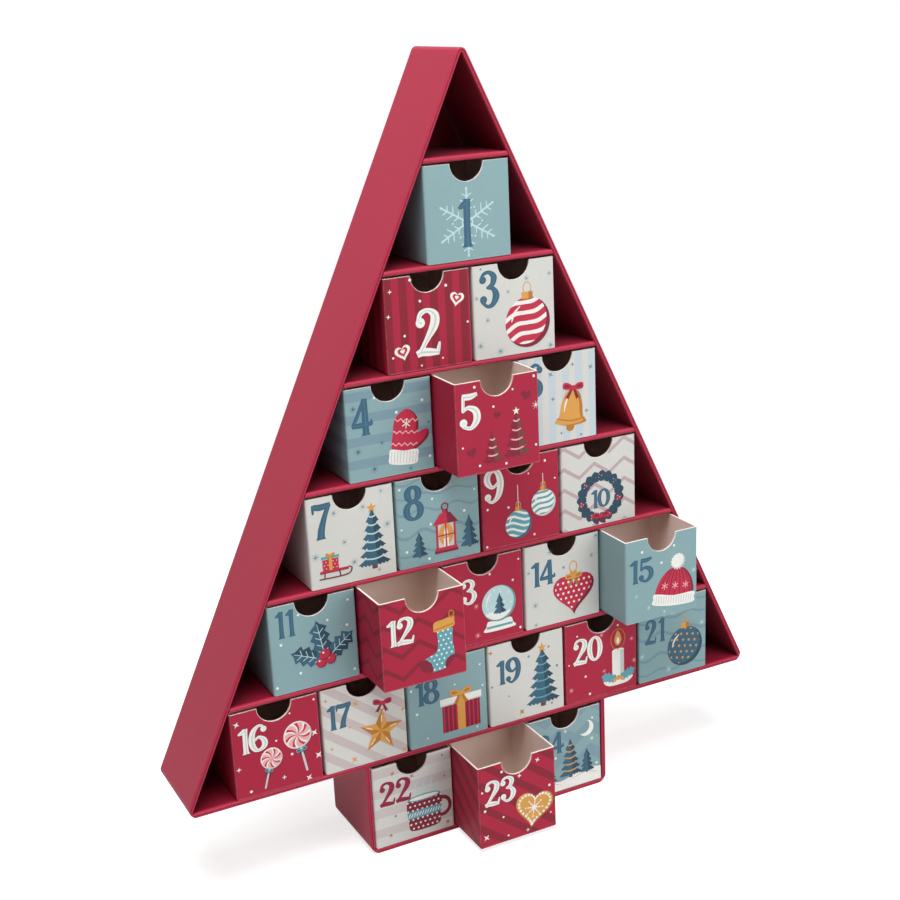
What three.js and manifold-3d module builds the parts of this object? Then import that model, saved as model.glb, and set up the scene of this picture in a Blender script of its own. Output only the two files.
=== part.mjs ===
// Advent calendar shaped like a fir tree: a frame of paper-wrapped board that holds 24 numbered
// card drawers. Millimetres, +Z up, the front faces -Y. The origin is at the centre of the trunk
// floor's underside, on which the calendar stands.
import * as THREE from "three";
import { mergeVertices } from "three/addons/utils/BufferGeometryUtils.js";
import Module from "manifold-3d";

const wasm = await Module();
wasm.setup();

// Card drawers
const DRAWER_WIDTH = 52;
const DRAWER_DEPTH = 50;
const DRAWER_HEIGHT = 52.6;
const CARD = 1;
const DRAWER_CORNER = 1.2;
const DRAWER_FOLD = 0.9;
const INSIDE_CORNER = 0.5;
const NOTCH_RADIUS = 10.1;

// Wrapped boards of the frame
const BOARD = 2.8;
const BACK_BOARD = 2.8;
const OUTER_PLY = 1.3;
const GROOVE_WIDTH = 0.6;
const GROOVE_DEPTH = 0.5;
const BAND_EDGE = 0.8;
const SHELF_EDGE = 1.1;
const BACK_EDGE = 0.4;
const APEX_INSIDE = 0.5;
const BASE_ROUND = 5;
const TRUNK_ROUND = 7;

// Rows of the tree, and drawers in the trunk
const ROWS = 6;
const TRUNK_DRAWERS = 3;

// Clearances
const COLUMN_GAP = 1.6;
const TRUNK_GAP = 0.6;
const SEAT_GAP = 0.3;
const HEAD_GAP = 1.1;
const TRUNK_HEAD_GAP = 2.1;
const SIDE_GAP = 1;
const FRONT_SETBACK = 0.3;
const REAR_GAP = 1.9;
const SHELF_END_GAP = 0.3;
const BACK_PANEL_GAP = 0.3;
const MITRE_GAP = 0.1;

// How far each pulled drawer stands out, by its number
const PULLED_OUT = { 5: 25.2, 12: 28.8, 15: 26.3, 23: 32.2 };

// Colours, and the ground colour of each drawer from 1 to 24
const FRAME_COLOUR = 0x9f1f3b;
const GROUND_COLOURS = { R: 0xb02440, T: 0x8fbcc2, W: 0xe6e6e1 };
const GROUNDS = "TRWTRWWTRWTRRWTRWTWRTWRT";

// Straight pieces of each arc: on edges and folds, round the notch, and round the apex and the
// feet of the boards
const FINE_ARC = 4;
const NOTCH_ARC = 32;
const BEND_ARC = 8;

// Share of its wall that a rounding may take up
const MOST_ROUND = 0.9;

// What follows from the sizes above
const FRAME_DEPTH = FRONT_SETBACK + DRAWER_DEPTH + REAR_GAP + BACK_BOARD;
const FRONT = -FRAME_DEPTH / 2;
const REAR = FRAME_DEPTH / 2;
const PANEL_FACE = REAR - BACK_BOARD;
const COLUMN_PITCH = DRAWER_WIDTH + COLUMN_GAP;
const TRUNK_PITCH = DRAWER_WIDTH + TRUNK_GAP;
const TRUNK_HALF = (TRUNK_DRAWERS * TRUNK_PITCH + TRUNK_GAP) / 2;
const TRUNK_TOP = BOARD + SEAT_GAP + DRAWER_HEIGHT + TRUNK_HEAD_GAP;
const ROW_PITCH = BOARD + SEAT_GAP + DRAWER_HEIGHT + HEAD_GAP;

// The slopes step out by half a drawer a row, so every row has the same clearance at its ends
const SLOPE = COLUMN_PITCH / 2 / ROW_PITCH;
const SLOPE_ANGLE = Math.atan(SLOPE);
const TOP_CORNER = levelUnder(1) + SEAT_GAP + DRAWER_HEIGHT;
const INNER_APEX = TOP_CORNER + (DRAWER_WIDTH / 2 + SIDE_GAP) / SLOPE;
const REACH = 3 * (INNER_APEX + FRAME_DEPTH);

// Height of a row's shelf above the tree's floor. Row 0 is the shelf over the first drawer.
function levelUnder(row) {
  return (ROWS - row) * ROW_PITCH;
}

// Half the width between the slopes' inner faces, and over their outer faces, at a height
function innerHalf(z) {
  return (INNER_APEX - z) * SLOPE;
}

function outerHalf(z) {
  return innerHalf(z) + BOARD / Math.cos(SLOPE_ANGLE);
}

// A rounding's radius, held within its share of the wall that it is cut from
function heldRound(radius, wall) {
  return Math.min(radius, MOST_ROUND * wall);
}

// The same for the outside of a mitred corner, from half the angle between its boards
function cornerRound(radius, halfAngle) {
  return heldRound(radius, BOARD / (1 - Math.sin(halfAngle)));
}

// A closed geometry as a solid that can be joined and cut, and back again
function solid(geometry) {
  geometry.deleteAttribute("normal");
  geometry.deleteAttribute("uv");
  const merged = mergeVertices(geometry, 1e-5);
  return new wasm.Manifold(new wasm.Mesh({
    numProp: 3,
    vertProperties: new Float32Array(merged.attributes.position.array),
    triVerts: new Uint32Array(merged.index.array),
  }));
}

function geometryOf(body) {
  const { vertProperties, triVerts } = body.getMesh();
  const geometry = new THREE.BufferGeometry();
  geometry.setAttribute("position", new THREE.BufferAttribute(vertProperties, 3));
  geometry.setIndex(new THREE.BufferAttribute(triVerts, 1));
  geometry.computeVertexNormals();
  return geometry;
}

// Outline through corners [x, y, radius], listed anticlockwise. A radius rounds its corner.
function outline(corners) {
  const shape = new THREE.Shape();
  const points = corners.map(([x, y]) => new THREE.Vector2(x, y));
  corners.forEach(([x, y, radius = 0], i) => {
    if (radius === 0) {
      if (i === 0) shape.moveTo(x, y);
      else shape.lineTo(x, y);
      return;
    }
    const before = points.at(i - 1).clone().sub(points[i]).normalize();
    const after = points[(i + 1) % points.length].clone().sub(points[i]).normalize();
    const half = before.angleTo(after) / 2;
    const setback = radius / Math.tan(half);
    const start = points[i].clone().addScaledVector(before, setback);
    const end = points[i].clone().addScaledVector(after, setback);
    const inward = before.clone().add(after).normalize();
    const centre = points[i].clone().addScaledVector(inward, radius / Math.sin(half));
    if (i === 0) shape.moveTo(start.x, start.y);
    else shape.lineTo(start.x, start.y);
    const from = start.sub(centre).angle();
    const to = end.sub(centre).angle();
    shape.absarc(centre.x, centre.y, radius, from, to, false);
  });
  return shape;
}

// An outline drawn in X and Z, pushed back along Y from the front to the rear position
function prismAlongY(shape, front, rear, arc = FINE_ARC) {
  const geometry = new THREE.ExtrudeGeometry(shape, {
    depth: rear - front,
    bevelEnabled: false,
    curveSegments: arc / 2,
  });
  geometry.rotateX(Math.PI / 2);
  geometry.translate(0, rear, 0);
  return solid(geometry);
}

// Section of a board, from its inner face at 0 out to its thickness, and from front to rear
function boardSection(thickness, rear, frontEdge, rearEdge, groove) {
  return outline([
    [0, FRONT, frontEdge],
    ...groove,
    [thickness, FRONT, frontEdge],
    [thickness, rear, rearEdge],
    [0, rear, rearEdge],
  ]);
}

// The outer band is made of two plies, and a groove shows between them along the front edge
function bandSection() {
  const middle = BOARD - OUTER_PLY;
  const half = GROOVE_WIDTH / 2;
  const edge = heldRound(BAND_EDGE, Math.min(OUTER_PLY, middle) - half);
  const groove = [[middle - half, FRONT], [middle, FRONT + GROOVE_DEPTH], [middle + half, FRONT]];
  return boardSection(BOARD, REAR, edge, edge, groove);
}

function shelfSection() {
  return boardSection(BOARD, PANEL_FACE, heldRound(SHELF_EDGE, BOARD / 2), 0, []);
}

// Sweeps a section through stations [x, z, nx, nz]. Each says where the board's inner face is and
// which way is out, and the next one lies on the side that out crossed with +Y points to.
function sweep(section, stations) {
  const profile = section.extractPoints(FINE_ARC / 2).shape;
  const count = profile.length;
  const positions = stations.flatMap(([x, z, nx, nz]) => (
    profile.flatMap((point) => [x + point.x * nx, point.y, z + point.x * nz])
  ));
  const faces = [];
  const end = (stations.length - 1) * count;
  for (const [a, b, c] of THREE.ShapeUtils.triangulateShape(profile, [])) {
    faces.push(a, c, b, end + a, end + b, end + c);
  }
  for (let ring = 0; ring < end; ring += count) {
    for (let i = 0; i < count; i++) {
      const a = ring + i;
      const b = ring + (i + 1) % count;
      faces.push(a, b, b + count, a, b + count, a + count);
    }
  }
  const geometry = new THREE.BufferGeometry();
  geometry.setAttribute("position", new THREE.Float32BufferAttribute(positions, 3));
  geometry.setIndex(faces);
  return solid(geometry);
}

// A long flat board whose inner face passes through (x, z) and looks away from (nx, nz)
function plank(section, x, z, nx, nz) {
  const half = REACH / 2;
  return sweep(section, [
    [x + half * nz, z - half * nx, nx, nz],
    [x - half * nz, z + half * nx, nx, nz],
  ]);
}

// Takes away what lies past the line through (x, z), on the side that (nx, nz) points to
function trim(body, x, z, nx, nz) {
  const block = new THREE.BoxGeometry(REACH, REACH, REACH);
  block.translate(REACH / 2, 0, 0);
  block.rotateY(Math.atan2(-nz, nx));
  block.translate(x, 0, z);
  return body.subtract(solid(block));
}

// Mitres a board along the line from a corner's inner to its outer point. The points are those of
// the right hand corner, and side -1 mirrors them. Of the two boards that meet there, the upright
// one lies above the line and the flat one below it.
function mitre(body, side, [inner, outer], isUpright) {
  const outward = outer.clone().sub(inner).normalize();
  const towardsUpright = new THREE.Vector2(-outward.y, outward.x);
  const turn = isUpright ? 1 : -1;
  const start = inner.clone().addScaledVector(towardsUpright, turn * MITRE_GAP / 2);
  const cut = towardsUpright.multiplyScalar(-turn);
  return trim(body, side * start.x, start.y, side * cut.x, cut.y);
}

// Inner and outer point of the lower right hand corner of the tree's band and of the trunk's
function treeCorner() {
  return [new THREE.Vector2(innerHalf(0), 0), new THREE.Vector2(outerHalf(-BOARD), -BOARD)];
}

function trunkCorner() {
  return [new THREE.Vector2(TRUNK_HALF, BOARD), new THREE.Vector2(TRUNK_HALF + BOARD, 0)];
}

// Rounds off the lower corners of the tree's band, and takes nothing away above the lowest shelf
function treeFoot() {
  const half = outerHalf(-BOARD);
  const level = levelUnder(ROWS - 1);
  const radius = cornerRound(BASE_ROUND, (Math.PI / 2 - SLOPE_ANGLE) / 2);
  return prismAlongY(outline([
    [-half, -BOARD, radius],
    [half, -BOARD, radius],
    [outerHalf(level), level],
    [REACH, level],
    [REACH, REACH],
    [-REACH, REACH],
    [-REACH, level],
    [-outerHalf(level), level],
  ]), FRONT - BOARD, REAR + BOARD, BEND_ARC);
}

function trunkFoot() {
  const half = TRUNK_HALF + BOARD;
  const radius = cornerRound(TRUNK_ROUND, Math.PI / 4);
  return prismAlongY(outline([
    [-half, 0, radius],
    [half, 0, radius],
    [half, TRUNK_TOP],
    [-half, TRUNK_TOP],
  ]), FRONT - BOARD, REAR + BOARD, BEND_ARC);
}

// Stations of the right hand slope: its foot, and the bend round one centre at the apex
function slopeStations() {
  const foot = -2 * BOARD;
  const centre = INNER_APEX - APEX_INSIDE / Math.sin(SLOPE_ANGLE);
  const stations = [[innerHalf(foot), foot, Math.cos(SLOPE_ANGLE), Math.sin(SLOPE_ANGLE)]];
  for (let step = 0; step <= BEND_ARC; step++) {
    const angle = THREE.MathUtils.lerp(SLOPE_ANGLE, Math.PI / 2, step / BEND_ARC);
    const nx = Math.cos(angle);
    const nz = Math.sin(angle);
    stations.push([APEX_INSIDE * nx, centre + APEX_INSIDE * nz, nx, nz]);
  }
  return stations;
}

// Sloping board on one side of the tree, bent to meet its twin at the apex and mitred at its foot
function slopeBoard(side) {
  const stations = slopeStations().map(([x, z, nx, nz]) => [side * x, z, side * nx, nz]);
  if (side < 0) stations.reverse();
  let slope = sweep(bandSection(), stations);
  slope = trim(slope, side * MITRE_GAP / 2, INNER_APEX, -side, 0);
  slope = mitre(slope, side, treeCorner(), true);
  return slope.intersect(treeFoot());
}

function treeFloor() {
  let floor = plank(bandSection(), 0, 0, 0, -1);
  for (const side of [-1, 1]) floor = mitre(floor, side, treeCorner(), false);
  return floor.intersect(treeFoot());
}

// Shelf whose ends are cut to the slopes, with its top face at its own height 0
function shelf(level) {
  let plate = plank(shelfSection(), 0, 0, 0, -1);
  for (const side of [-1, 1]) {
    const end = side * (innerHalf(level) - SHELF_END_GAP);
    plate = trim(plate, end, 0, side * Math.cos(SLOPE_ANGLE), Math.sin(SLOPE_ANGLE));
  }
  return plate;
}

function trunkSide(side) {
  let wall = plank(bandSection(), side * TRUNK_HALF, 0, side, 0);
  wall = trim(wall, 0, TRUNK_TOP, 0, 1);
  wall = mitre(wall, side, trunkCorner(), true);
  return wall.intersect(trunkFoot());
}

function trunkFloor() {
  let floor = plank(bandSection(), 0, BOARD, 0, -1);
  for (const side of [-1, 1]) floor = mitre(floor, side, trunkCorner(), false);
  return floor.intersect(trunkFoot());
}

// Flat panel with softened edges, set in at the rear. The outline is drawn in X and Z.
function backPanel(shape) {
  const edge = heldRound(BACK_EDGE, BACK_BOARD / 2);
  const geometry = new THREE.ExtrudeGeometry(shape, {
    depth: BACK_BOARD - 2 * edge,
    bevelThickness: edge,
    bevelSize: edge,
    bevelOffset: -edge,
    bevelSegments: 2,
    curveSegments: FINE_ARC / 2,
  });
  geometry.rotateX(Math.PI / 2);
  geometry.translate(0, REAR - edge, 0);
  return solid(geometry);
}

// The panel keeps its gap to the slopes, and its tip is rounded enough to soften its edges too
function treeBackPanel() {
  const half = innerHalf(0) - BACK_PANEL_GAP / Math.cos(SLOPE_ANGLE);
  return backPanel(outline([
    [-half, 0],
    [half, 0],
    [0, half / SLOPE, APEX_INSIDE + BACK_EDGE],
  ]));
}

function trunkBackPanel() {
  return backPanel(outline([
    [-TRUNK_HALF, BOARD],
    [TRUNK_HALF, BOARD],
    [TRUNK_HALF, TRUNK_TOP],
    [-TRUNK_HALF, TRUNK_TOP],
  ]));
}

// Upright box with rounded corners, about X = 0 and from Y = 0 back to its depth
function roundedBox(width, depth, height, radius, arc) {
  const half = width / 2;
  const plan = outline([
    [-half, 0, radius],
    [half, 0, radius],
    [half, depth, radius],
    [-half, depth, radius],
  ]);
  return new THREE.ExtrudeGeometry(plan, {
    depth: height,
    bevelEnabled: false,
    curveSegments: arc / 2,
  });
}

// Open card tray. Its origin is in the middle of its front's lower edge.
function drawer() {
  const half = DRAWER_WIDTH / 2;
  const outside = roundedBox(DRAWER_WIDTH, DRAWER_DEPTH, DRAWER_HEIGHT, DRAWER_CORNER, FINE_ARC);
  const folds = prismAlongY(outline([
    [-half, 0, DRAWER_FOLD],
    [half, 0, DRAWER_FOLD],
    [half, 2 * DRAWER_HEIGHT],
    [-half, 2 * DRAWER_HEIGHT],
  ]), -DRAWER_DEPTH, 2 * DRAWER_DEPTH);
  const width = DRAWER_WIDTH - 2 * CARD;
  const depth = DRAWER_DEPTH - 2 * CARD;
  const inside = roundedBox(width, depth, DRAWER_HEIGHT, INSIDE_CORNER, FINE_ARC / 2);
  inside.translate(0, CARD, CARD);
  const circle = new THREE.Shape().absarc(0, DRAWER_HEIGHT, NOTCH_RADIUS, 0, 2 * Math.PI, false);
  const notch = prismAlongY(circle, -CARD, DRAWER_DEPTH / 2, NOTCH_ARC);
  return solid(outside).intersect(folds).subtract(solid(inside)).subtract(notch);
}

function piece(name, geometry, color, roughness) {
  const material = new THREE.MeshStandardMaterial({ color, roughness, metalness: 0 });
  const mesh = new THREE.Mesh(geometry, material);
  mesh.name = name;
  return mesh;
}

function board(name, body) {
  return piece(name, geometryOf(body), FRAME_COLOUR, 0.5);
}

// One row of drawers on a shelf, numbered from the left
function drawerRow(geometry, first, count, pitch, level) {
  const row = new THREE.Group();
  for (let column = 0; column < count; column++) {
    const number = first + column;
    const ground = GROUND_COLOURS[GROUNDS[(number - 1) % GROUNDS.length]];
    const tray = piece(`drawer_${String(number).padStart(2, "0")}`, geometry, ground, 0.6);
    const front = FRONT + FRONT_SETBACK - (PULLED_OUT[number] ?? 0);
    tray.position.set((column - (count - 1) / 2) * pitch, front, level + SEAT_GAP);
    row.add(tray);
  }
  return row;
}

function tree(trayGeometry) {
  const group = new THREE.Group();
  group.add(board("left_slope_board", slopeBoard(-1)));
  group.add(board("right_slope_board", slopeBoard(1)));
  group.add(board("tree_floor_board", treeFloor()));
  group.add(board("tree_back_panel", treeBackPanel()));
  for (let row = 0; row < ROWS; row++) {
    const name = row === 0 ? "top_shelf" : `shelf_${row}`;
    const plate = board(name, shelf(levelUnder(row)));
    plate.position.z = levelUnder(row);
    group.add(plate);
  }
  for (let row = 1; row <= ROWS; row++) {
    const first = row * (row - 1) / 2 + 1;
    group.add(drawerRow(trayGeometry, first, row, COLUMN_PITCH, levelUnder(row)));
  }
  group.position.z = TRUNK_TOP + BOARD;
  return group;
}

function trunk(trayGeometry) {
  const group = new THREE.Group();
  group.add(board("trunk_left_side", trunkSide(-1)));
  group.add(board("trunk_right_side", trunkSide(1)));
  group.add(board("trunk_floor", trunkFloor()));
  group.add(board("trunk_back_panel", trunkBackPanel()));
  const first = ROWS * (ROWS + 1) / 2 + 1;
  group.add(drawerRow(trayGeometry, first, TRUNK_DRAWERS, TRUNK_PITCH, BOARD));
  return group;
}

const trayGeometry = geometryOf(drawer());
const calendar = new THREE.Group();
calendar.add(tree(trayGeometry), trunk(trayGeometry));

export default calendar;
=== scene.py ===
"""Dresses the fir tree advent calendar: its paper-wrapped boards, its 24 printed card drawers, and
the stage that it stands on. Lengths on a drawer's front are in millimetres: u runs from its left
edge and v from its lower edge."""

import math
from collections import namedtuple

import bmesh
import bpy
from bpy.props import FloatProperty, FloatVectorProperty, IntProperty, PointerProperty
from mathutils import Matrix, Vector
from mathutils.geometry import convex_hull_2d, delaunay_2d_cdt


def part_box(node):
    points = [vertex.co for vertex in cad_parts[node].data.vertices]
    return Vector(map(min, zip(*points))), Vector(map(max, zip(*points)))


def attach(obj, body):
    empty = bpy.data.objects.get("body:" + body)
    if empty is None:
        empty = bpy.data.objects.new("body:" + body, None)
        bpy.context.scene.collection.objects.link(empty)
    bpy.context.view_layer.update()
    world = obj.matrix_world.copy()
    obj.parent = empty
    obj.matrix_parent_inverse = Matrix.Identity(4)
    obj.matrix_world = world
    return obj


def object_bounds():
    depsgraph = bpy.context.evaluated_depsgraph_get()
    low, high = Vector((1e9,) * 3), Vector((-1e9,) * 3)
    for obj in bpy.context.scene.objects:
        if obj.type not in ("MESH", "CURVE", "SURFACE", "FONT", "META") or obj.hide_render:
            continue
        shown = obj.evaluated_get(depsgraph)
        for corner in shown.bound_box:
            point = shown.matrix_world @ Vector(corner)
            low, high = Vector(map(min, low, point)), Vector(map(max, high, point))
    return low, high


bl_info = {
    "name": "Fir Tree Advent Calendar",
    "version": (1, 0, 0),
    "blender": (4, 5, 0),
    "location": "3D View > Sidebar > Calendar",
    "description": "Dresses the boards, the card drawers and their prints, and sets the stage",
    "category": "Object",
}

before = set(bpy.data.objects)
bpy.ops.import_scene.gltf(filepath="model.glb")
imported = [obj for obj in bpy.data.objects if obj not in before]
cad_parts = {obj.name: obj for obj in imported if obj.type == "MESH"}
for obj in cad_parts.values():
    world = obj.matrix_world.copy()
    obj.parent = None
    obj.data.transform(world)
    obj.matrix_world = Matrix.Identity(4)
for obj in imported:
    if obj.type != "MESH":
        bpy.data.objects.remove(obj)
CAD_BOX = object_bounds()
MM = 0.001

# Sizes that the model gives, in metres
DRAWERS = 24
BOARDS = sorted(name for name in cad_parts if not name.startswith("drawer_"))
NEAR_CORNER, FAR_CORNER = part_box("drawer_01")
WIDTH, DEPTH, HEIGHT = FAR_CORNER - NEAR_CORNER
FRONT_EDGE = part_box("tree_floor_board")[0].y
REAR_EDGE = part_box("tree_floor_board")[1].y
TREE_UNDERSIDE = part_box("tree_floor_board")[0].z
TRUNK_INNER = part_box("trunk_back_panel")[1].x
TOP_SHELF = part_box("top_shelf")[1]
LOW_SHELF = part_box("shelf_5")[1]
SLOPE = (LOW_SHELF.x - TOP_SHELF.x) / (TOP_SHELF.z - LOW_SHELF.z)

# Glue in the mitred joints: its width over the joint, its depth from the inner corner, and how far
# it ends from the boards' edges
SEAM_WIDTH = 0.24 * MM
SEAM_DEPTH = 0.62 * MM
SEAM_END = 1.1 * MM

# Drawers in millimetres: their card's thickness, the notch's radius, and how large a front is
CARD = 1.0
NOTCH = 10.1
FACE_WIDTH = WIDTH / MM
FACE_HEIGHT = HEIGHT / MM
MIDDLE = FACE_WIDTH / 2

# Margins in millimetres: from a front's print to its edges, its upper edge and its notch, and from
# numerals and pictures to the nearest speck. SPECK_INSET is the share by which the specks' area is
# smaller than the print's.
EDGE_MARGIN = 0.35
TOP_MARGIN = 0.2
NOTCH_MARGIN = 0.3
QUIET_MARGIN = 1.6
SPECK_INSET = 0.06

# Wear of the card: at which distances from a fold or cut, in millimetres, it starts and is full,
# the same for the bare cut itself, and how much of the cut's colour a worn fold takes on
CORNER_WEAR = (1.0, 0.45)
LOWER_WEAR = (0.75, 0.25)
RIM_WEAR = (0.4, 0.1)
NOTCH_WEAR = (0.42, 0.12)
BARE_CUT = (0.06, 0.02)
FOLD_PALENESS = 0.22

# Ground colour of each drawer from 1 to 24: teal, red or white
GROUNDS = "TRWTRWWTRWTRRWTRWTWRTWRT"

# Background pattern of some drawers. The repeat is measured up the front, or across it for upright
# stripes, share is the part of it that has the second tone, and start is where the middle of one
# stripe meets the left edge, or a peak of a zigzag. strength mixes the tone into the ground.
Pattern = namedtuple("Pattern", "kind repeat share start tone strength")
PATTERNS = {
    2: Pattern("upright", 9.2, 0.52, 2.0, "red_tone", 1.0),
    4: Pattern("level", 12.7, 0.42, 10.0, "teal_tone", 1.0),
    6: Pattern("upright", 9.1, 0.53, 3.8, "haze_tone", 1.0),
    8: Pattern("waves", 10.5, 0.13, 10.0, "teal_tone", 1.6),
    10: Pattern("zigzag", 12.8, 0.2, 0.8, "blush_tone", 1.0),
    12: Pattern("zigzag", 13.3, 0.23, 12.4, "red_tone", 1.0),
    17: Pattern("slanting", 14.4, 0.42, 12.4, "blush_tone", 0.6),
    21: Pattern("waves", 10.9, 0.15, 6.7, "teal_tone", 1.6),
    22: Pattern("level", 13.0, 0.45, 9.4, "blush_tone", 0.45),
    23: Pattern("slanting", 14.3, 0.4, 13.9, "red_tone", 1.0),
    24: Pattern("zigzag", 17.0, 0.5, 6.0, "teal_tone", 0.7),
}

# Zigzags have one period, rise and first peak, and slanting stripes one slant. Waves have a short
# and a long swing, each with its period and height in repeats. Edges are soft over PATTERN_SOFT.
ZIGZAG_PERIOD = 21.1
ZIGZAG_RISE = 0.68
ZIGZAG_PEAK = 1.8
SLANT = 0.76
SHORT_WAVE = (2.0, 0.14)
LONG_WAVE = (4.3, 0.2)
PATTERN_SOFT = 0.14

# Specks on the fronts: ink of the dots, ink of the stars, share of stars, their rays, and their
# reach in millimetres
Specks = namedtuple("Specks", "dots stars share rays reach")
SPECKS = {
    2: Specks("snow", "snow", 0.2, 4, 1.8),
    3: Specks("slate", "slate", 0.9, 8, 2.6),
    4: Specks("snow", "navy", 0.5, 8, 2.5),
    5: Specks("snow", "snow", 0.3, 8, 2.6),
    6: Specks("slate", "slate", 0.9, 4, 1.9),
    7: Specks("red", "slate", 0.6, 8, 2.5),
    8: Specks("snow", "snow", 0.0, 8, 2.4),
    9: Specks("snow", "snow", 0.0, 8, 2.4),
    11: Specks("snow", "snow", 0.0, 8, 2.4),
    13: Specks("snow", "blush", 0.45, 8, 2.4),
    14: Specks("slate", "slate", 0.95, 8, 2.7),
    15: Specks("snow", "mist", 0.35, 8, 2.4),
    16: Specks("snow", "snow", 0.7, 4, 2.0),
    17: Specks("gold", "gold", 1.0, 4, 2.0),
    18: Specks("snow", "snow", 0.0, 8, 2.4),
    19: Specks("slate", "amber", 0.5, 4, 2.0),
    20: Specks("snow", "blush", 0.45, 8, 2.6),
    21: Specks("snow", "mist", 0.8, 8, 3.0),
    22: Specks("slate", "amber", 0.6, 4, 1.8),
    23: Specks("snow", "snow", 0.5, 4, 1.9),
    24: Specks("snow", "snow", 0.3, 8, 2.2),
}

# Numeral on each drawer, in millimetres: its left edge, its lower edge, its width and its height
NUMERALS = {
    1: (20.0, 7.1, 8.3, 26.2),
    2: (17.3, 7.1, 15.3, 26.7),
    3: (4.2, 28.4, 12.5, 21.2),
    4: (3.2, 25.8, 13.0, 20.8),
    5: (2.2, 25.9, 13.3, 20.7),
    6: (3.7, 28.8, 12.5, 20.6),
    7: (3.3, 28.4, 11.5, 20.9),
    8: (4.0, 27.9, 13.0, 20.9),
    9: (1.9, 27.9, 13.2, 20.8),
    10: (20.3, 10.8, 13.7, 11.6),
    11: (4.3, 33.3, 11.2, 16.0),
    12: (3.7, 25.8, 16.6, 16.3),
    13: (5.3, 25.8, 16.2, 16.0),
    14: (4.3, 26.3, 17.0, 15.8),
    15: (3.0, 24.9, 17.3, 15.6),
    16: (3.7, 26.6, 17.3, 16.3),
    17: (3.0, 26.6, 15.3, 15.5),
    18: (5.0, 26.3, 15.7, 15.8),
    19: (5.3, 25.4, 17.0, 16.6),
    20: (5.2, 24.6, 21.6, 17.5),
    21: (4.5, 25.1, 15.5, 17.0),
    22: (3.7, 26.3, 20.8, 15.8),
    23: (3.8, 25.9, 21.2, 17.0),
    24: (4.6, 26.3, 20.7, 15.6),
}

# Strokes of the digits on a field 10 wide and 16 high: each point is x, y and the pen's width. A
# stroke of one point is a round blot, and one that starts with CUT has square ends. The 9 is the 6
# turned round.
CUT = "cut"
DIGIT_FIELD = (10.0, 16.0)
DIGITS = {
    "1": [
        [CUT, (5.5, 16.0, 2.3), (5.3, 12, 2.2), (5.2, 5, 2.2), (5.2, 1.2, 2.5), (5.2, 0.0, 3.6)],
        [CUT, (5.6, 15.4, 1.3), (3.9, 14.0, 1.9), (1.9, 13.1, 0.7)],
    ],
    "2": [
        [(2.2, 11.8, 2.9)],
        [(1.3, 12.2, 1.1), (2.5, 15.0, 1.5), (5.2, 15.8, 1.3), (7.7, 13.9, 2.6), (7.4, 10.4, 2.8),
         (4.6, 6.0, 1.7), (1.7, 1.6, 1.3)],
        [CUT, (0.4, 0.9, 1.9), (2.4, 1.5, 2.3), (5.4, 1.2, 2.3), (9.0, 0.7, 1.4)],
        [CUT, (8.3, 0.4, 1.2), (8.8, 2.4, 1.1), (9.3, 4.4, 0.6)],
    ],
    "3": [
        [(2.0, 12.6, 2.8)],
        [(1.1, 12.9, 1.0), (2.4, 15.1, 1.3), (5.0, 15.8, 1.4), (7.4, 13.6, 2.5), (6.6, 10.2, 2.0),
         (4.2, 8.9, 1.0)],
        [(4.2, 8.9, 1.0), (7.0, 8.1, 1.8), (8.3, 4.8, 2.8), (6.6, 1.2, 2.0), (4.0, 0.4, 1.3),
         (1.6, 2.6, 1.3)],
        [(2.1, 3.6, 2.9)],
    ],
    "4": [
        [(6.0, 15.4, 1.3), (3.4, 9.8, 1.4), (0.9, 5.0, 1.3)],
        [CUT, (0.3, 4.6, 1.5), (5.0, 4.7, 1.9), (9.5, 4.9, 1.3)],
        [CUT, (6.3, 16.0, 2.2), (6.4, 8, 2.4), (6.4, 1.4, 2.5), (6.4, 0.0, 3.8)],
        [CUT, (9.0, 6.8, 0.6), (9.2, 4.5, 1.1)],
    ],
    "5": [
        [CUT, (2.0, 14.9, 2.0), (5.4, 14.6, 2.2), (8.7, 15.5, 1.2)],
        [(2.5, 15.0, 1.2), (2.2, 8.7, 1.2)],
        [(2.2, 8.5, 1.1), (4.6, 9.8, 1.5), (7.8, 7.8, 2.6), (8.1, 3.7, 2.7), (5.4, 0.5, 1.5),
         (2.1, 1.6, 1.2)],
        [(2.2, 3.2, 2.9)],
    ],
    "6": [
        [(7.8, 13.2, 2.7)],
        [(8.4, 13.6, 0.9), (7.2, 15.2, 1.1), (5.2, 15.7, 1.3), (2.6, 12.6, 2.4), (1.6, 6.8, 2.8),
         (2.7, 2.0, 2.3), (5.1, 0.5, 1.4), (7.6, 2.6, 2.5), (7.7, 6.0, 2.5), (5.4, 8.7, 1.3),
         (2.7, 6.9, 1.2)],
    ],
    "7": [
        [CUT, (1.0, 14.8, 2.0), (4.6, 14.3, 2.4), (9.3, 15.0, 1.7)],
        [CUT, (1.1, 15.7, 1.2), (1.0, 13.4, 1.1), (0.9, 11.6, 0.6)],
        [CUT, (8.6, 15.2, 1.7), (6.2, 9.7, 2.0), (4.5, 4.6, 2.6), (4.0, 1.2, 2.9), (4.0, 0.0, 3.9)],
    ],
}

# Loops of the digits: middle x and y, and half their width and height. The pen is thin at a loop's
# top and foot and swells at its sides, the more steeply the higher the power.
LOOPS = {
    "0": [(5.0, 8.0, 3.5, 7.2)],
    "8": [(5.0, 12.2, 2.7, 3.2), (5.0, 4.5, 3.5, 3.9)],
}
LOOP_THIN = 1.2
LOOP_SWELL = 1.6
LOOP_POWER = 1.4

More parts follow.
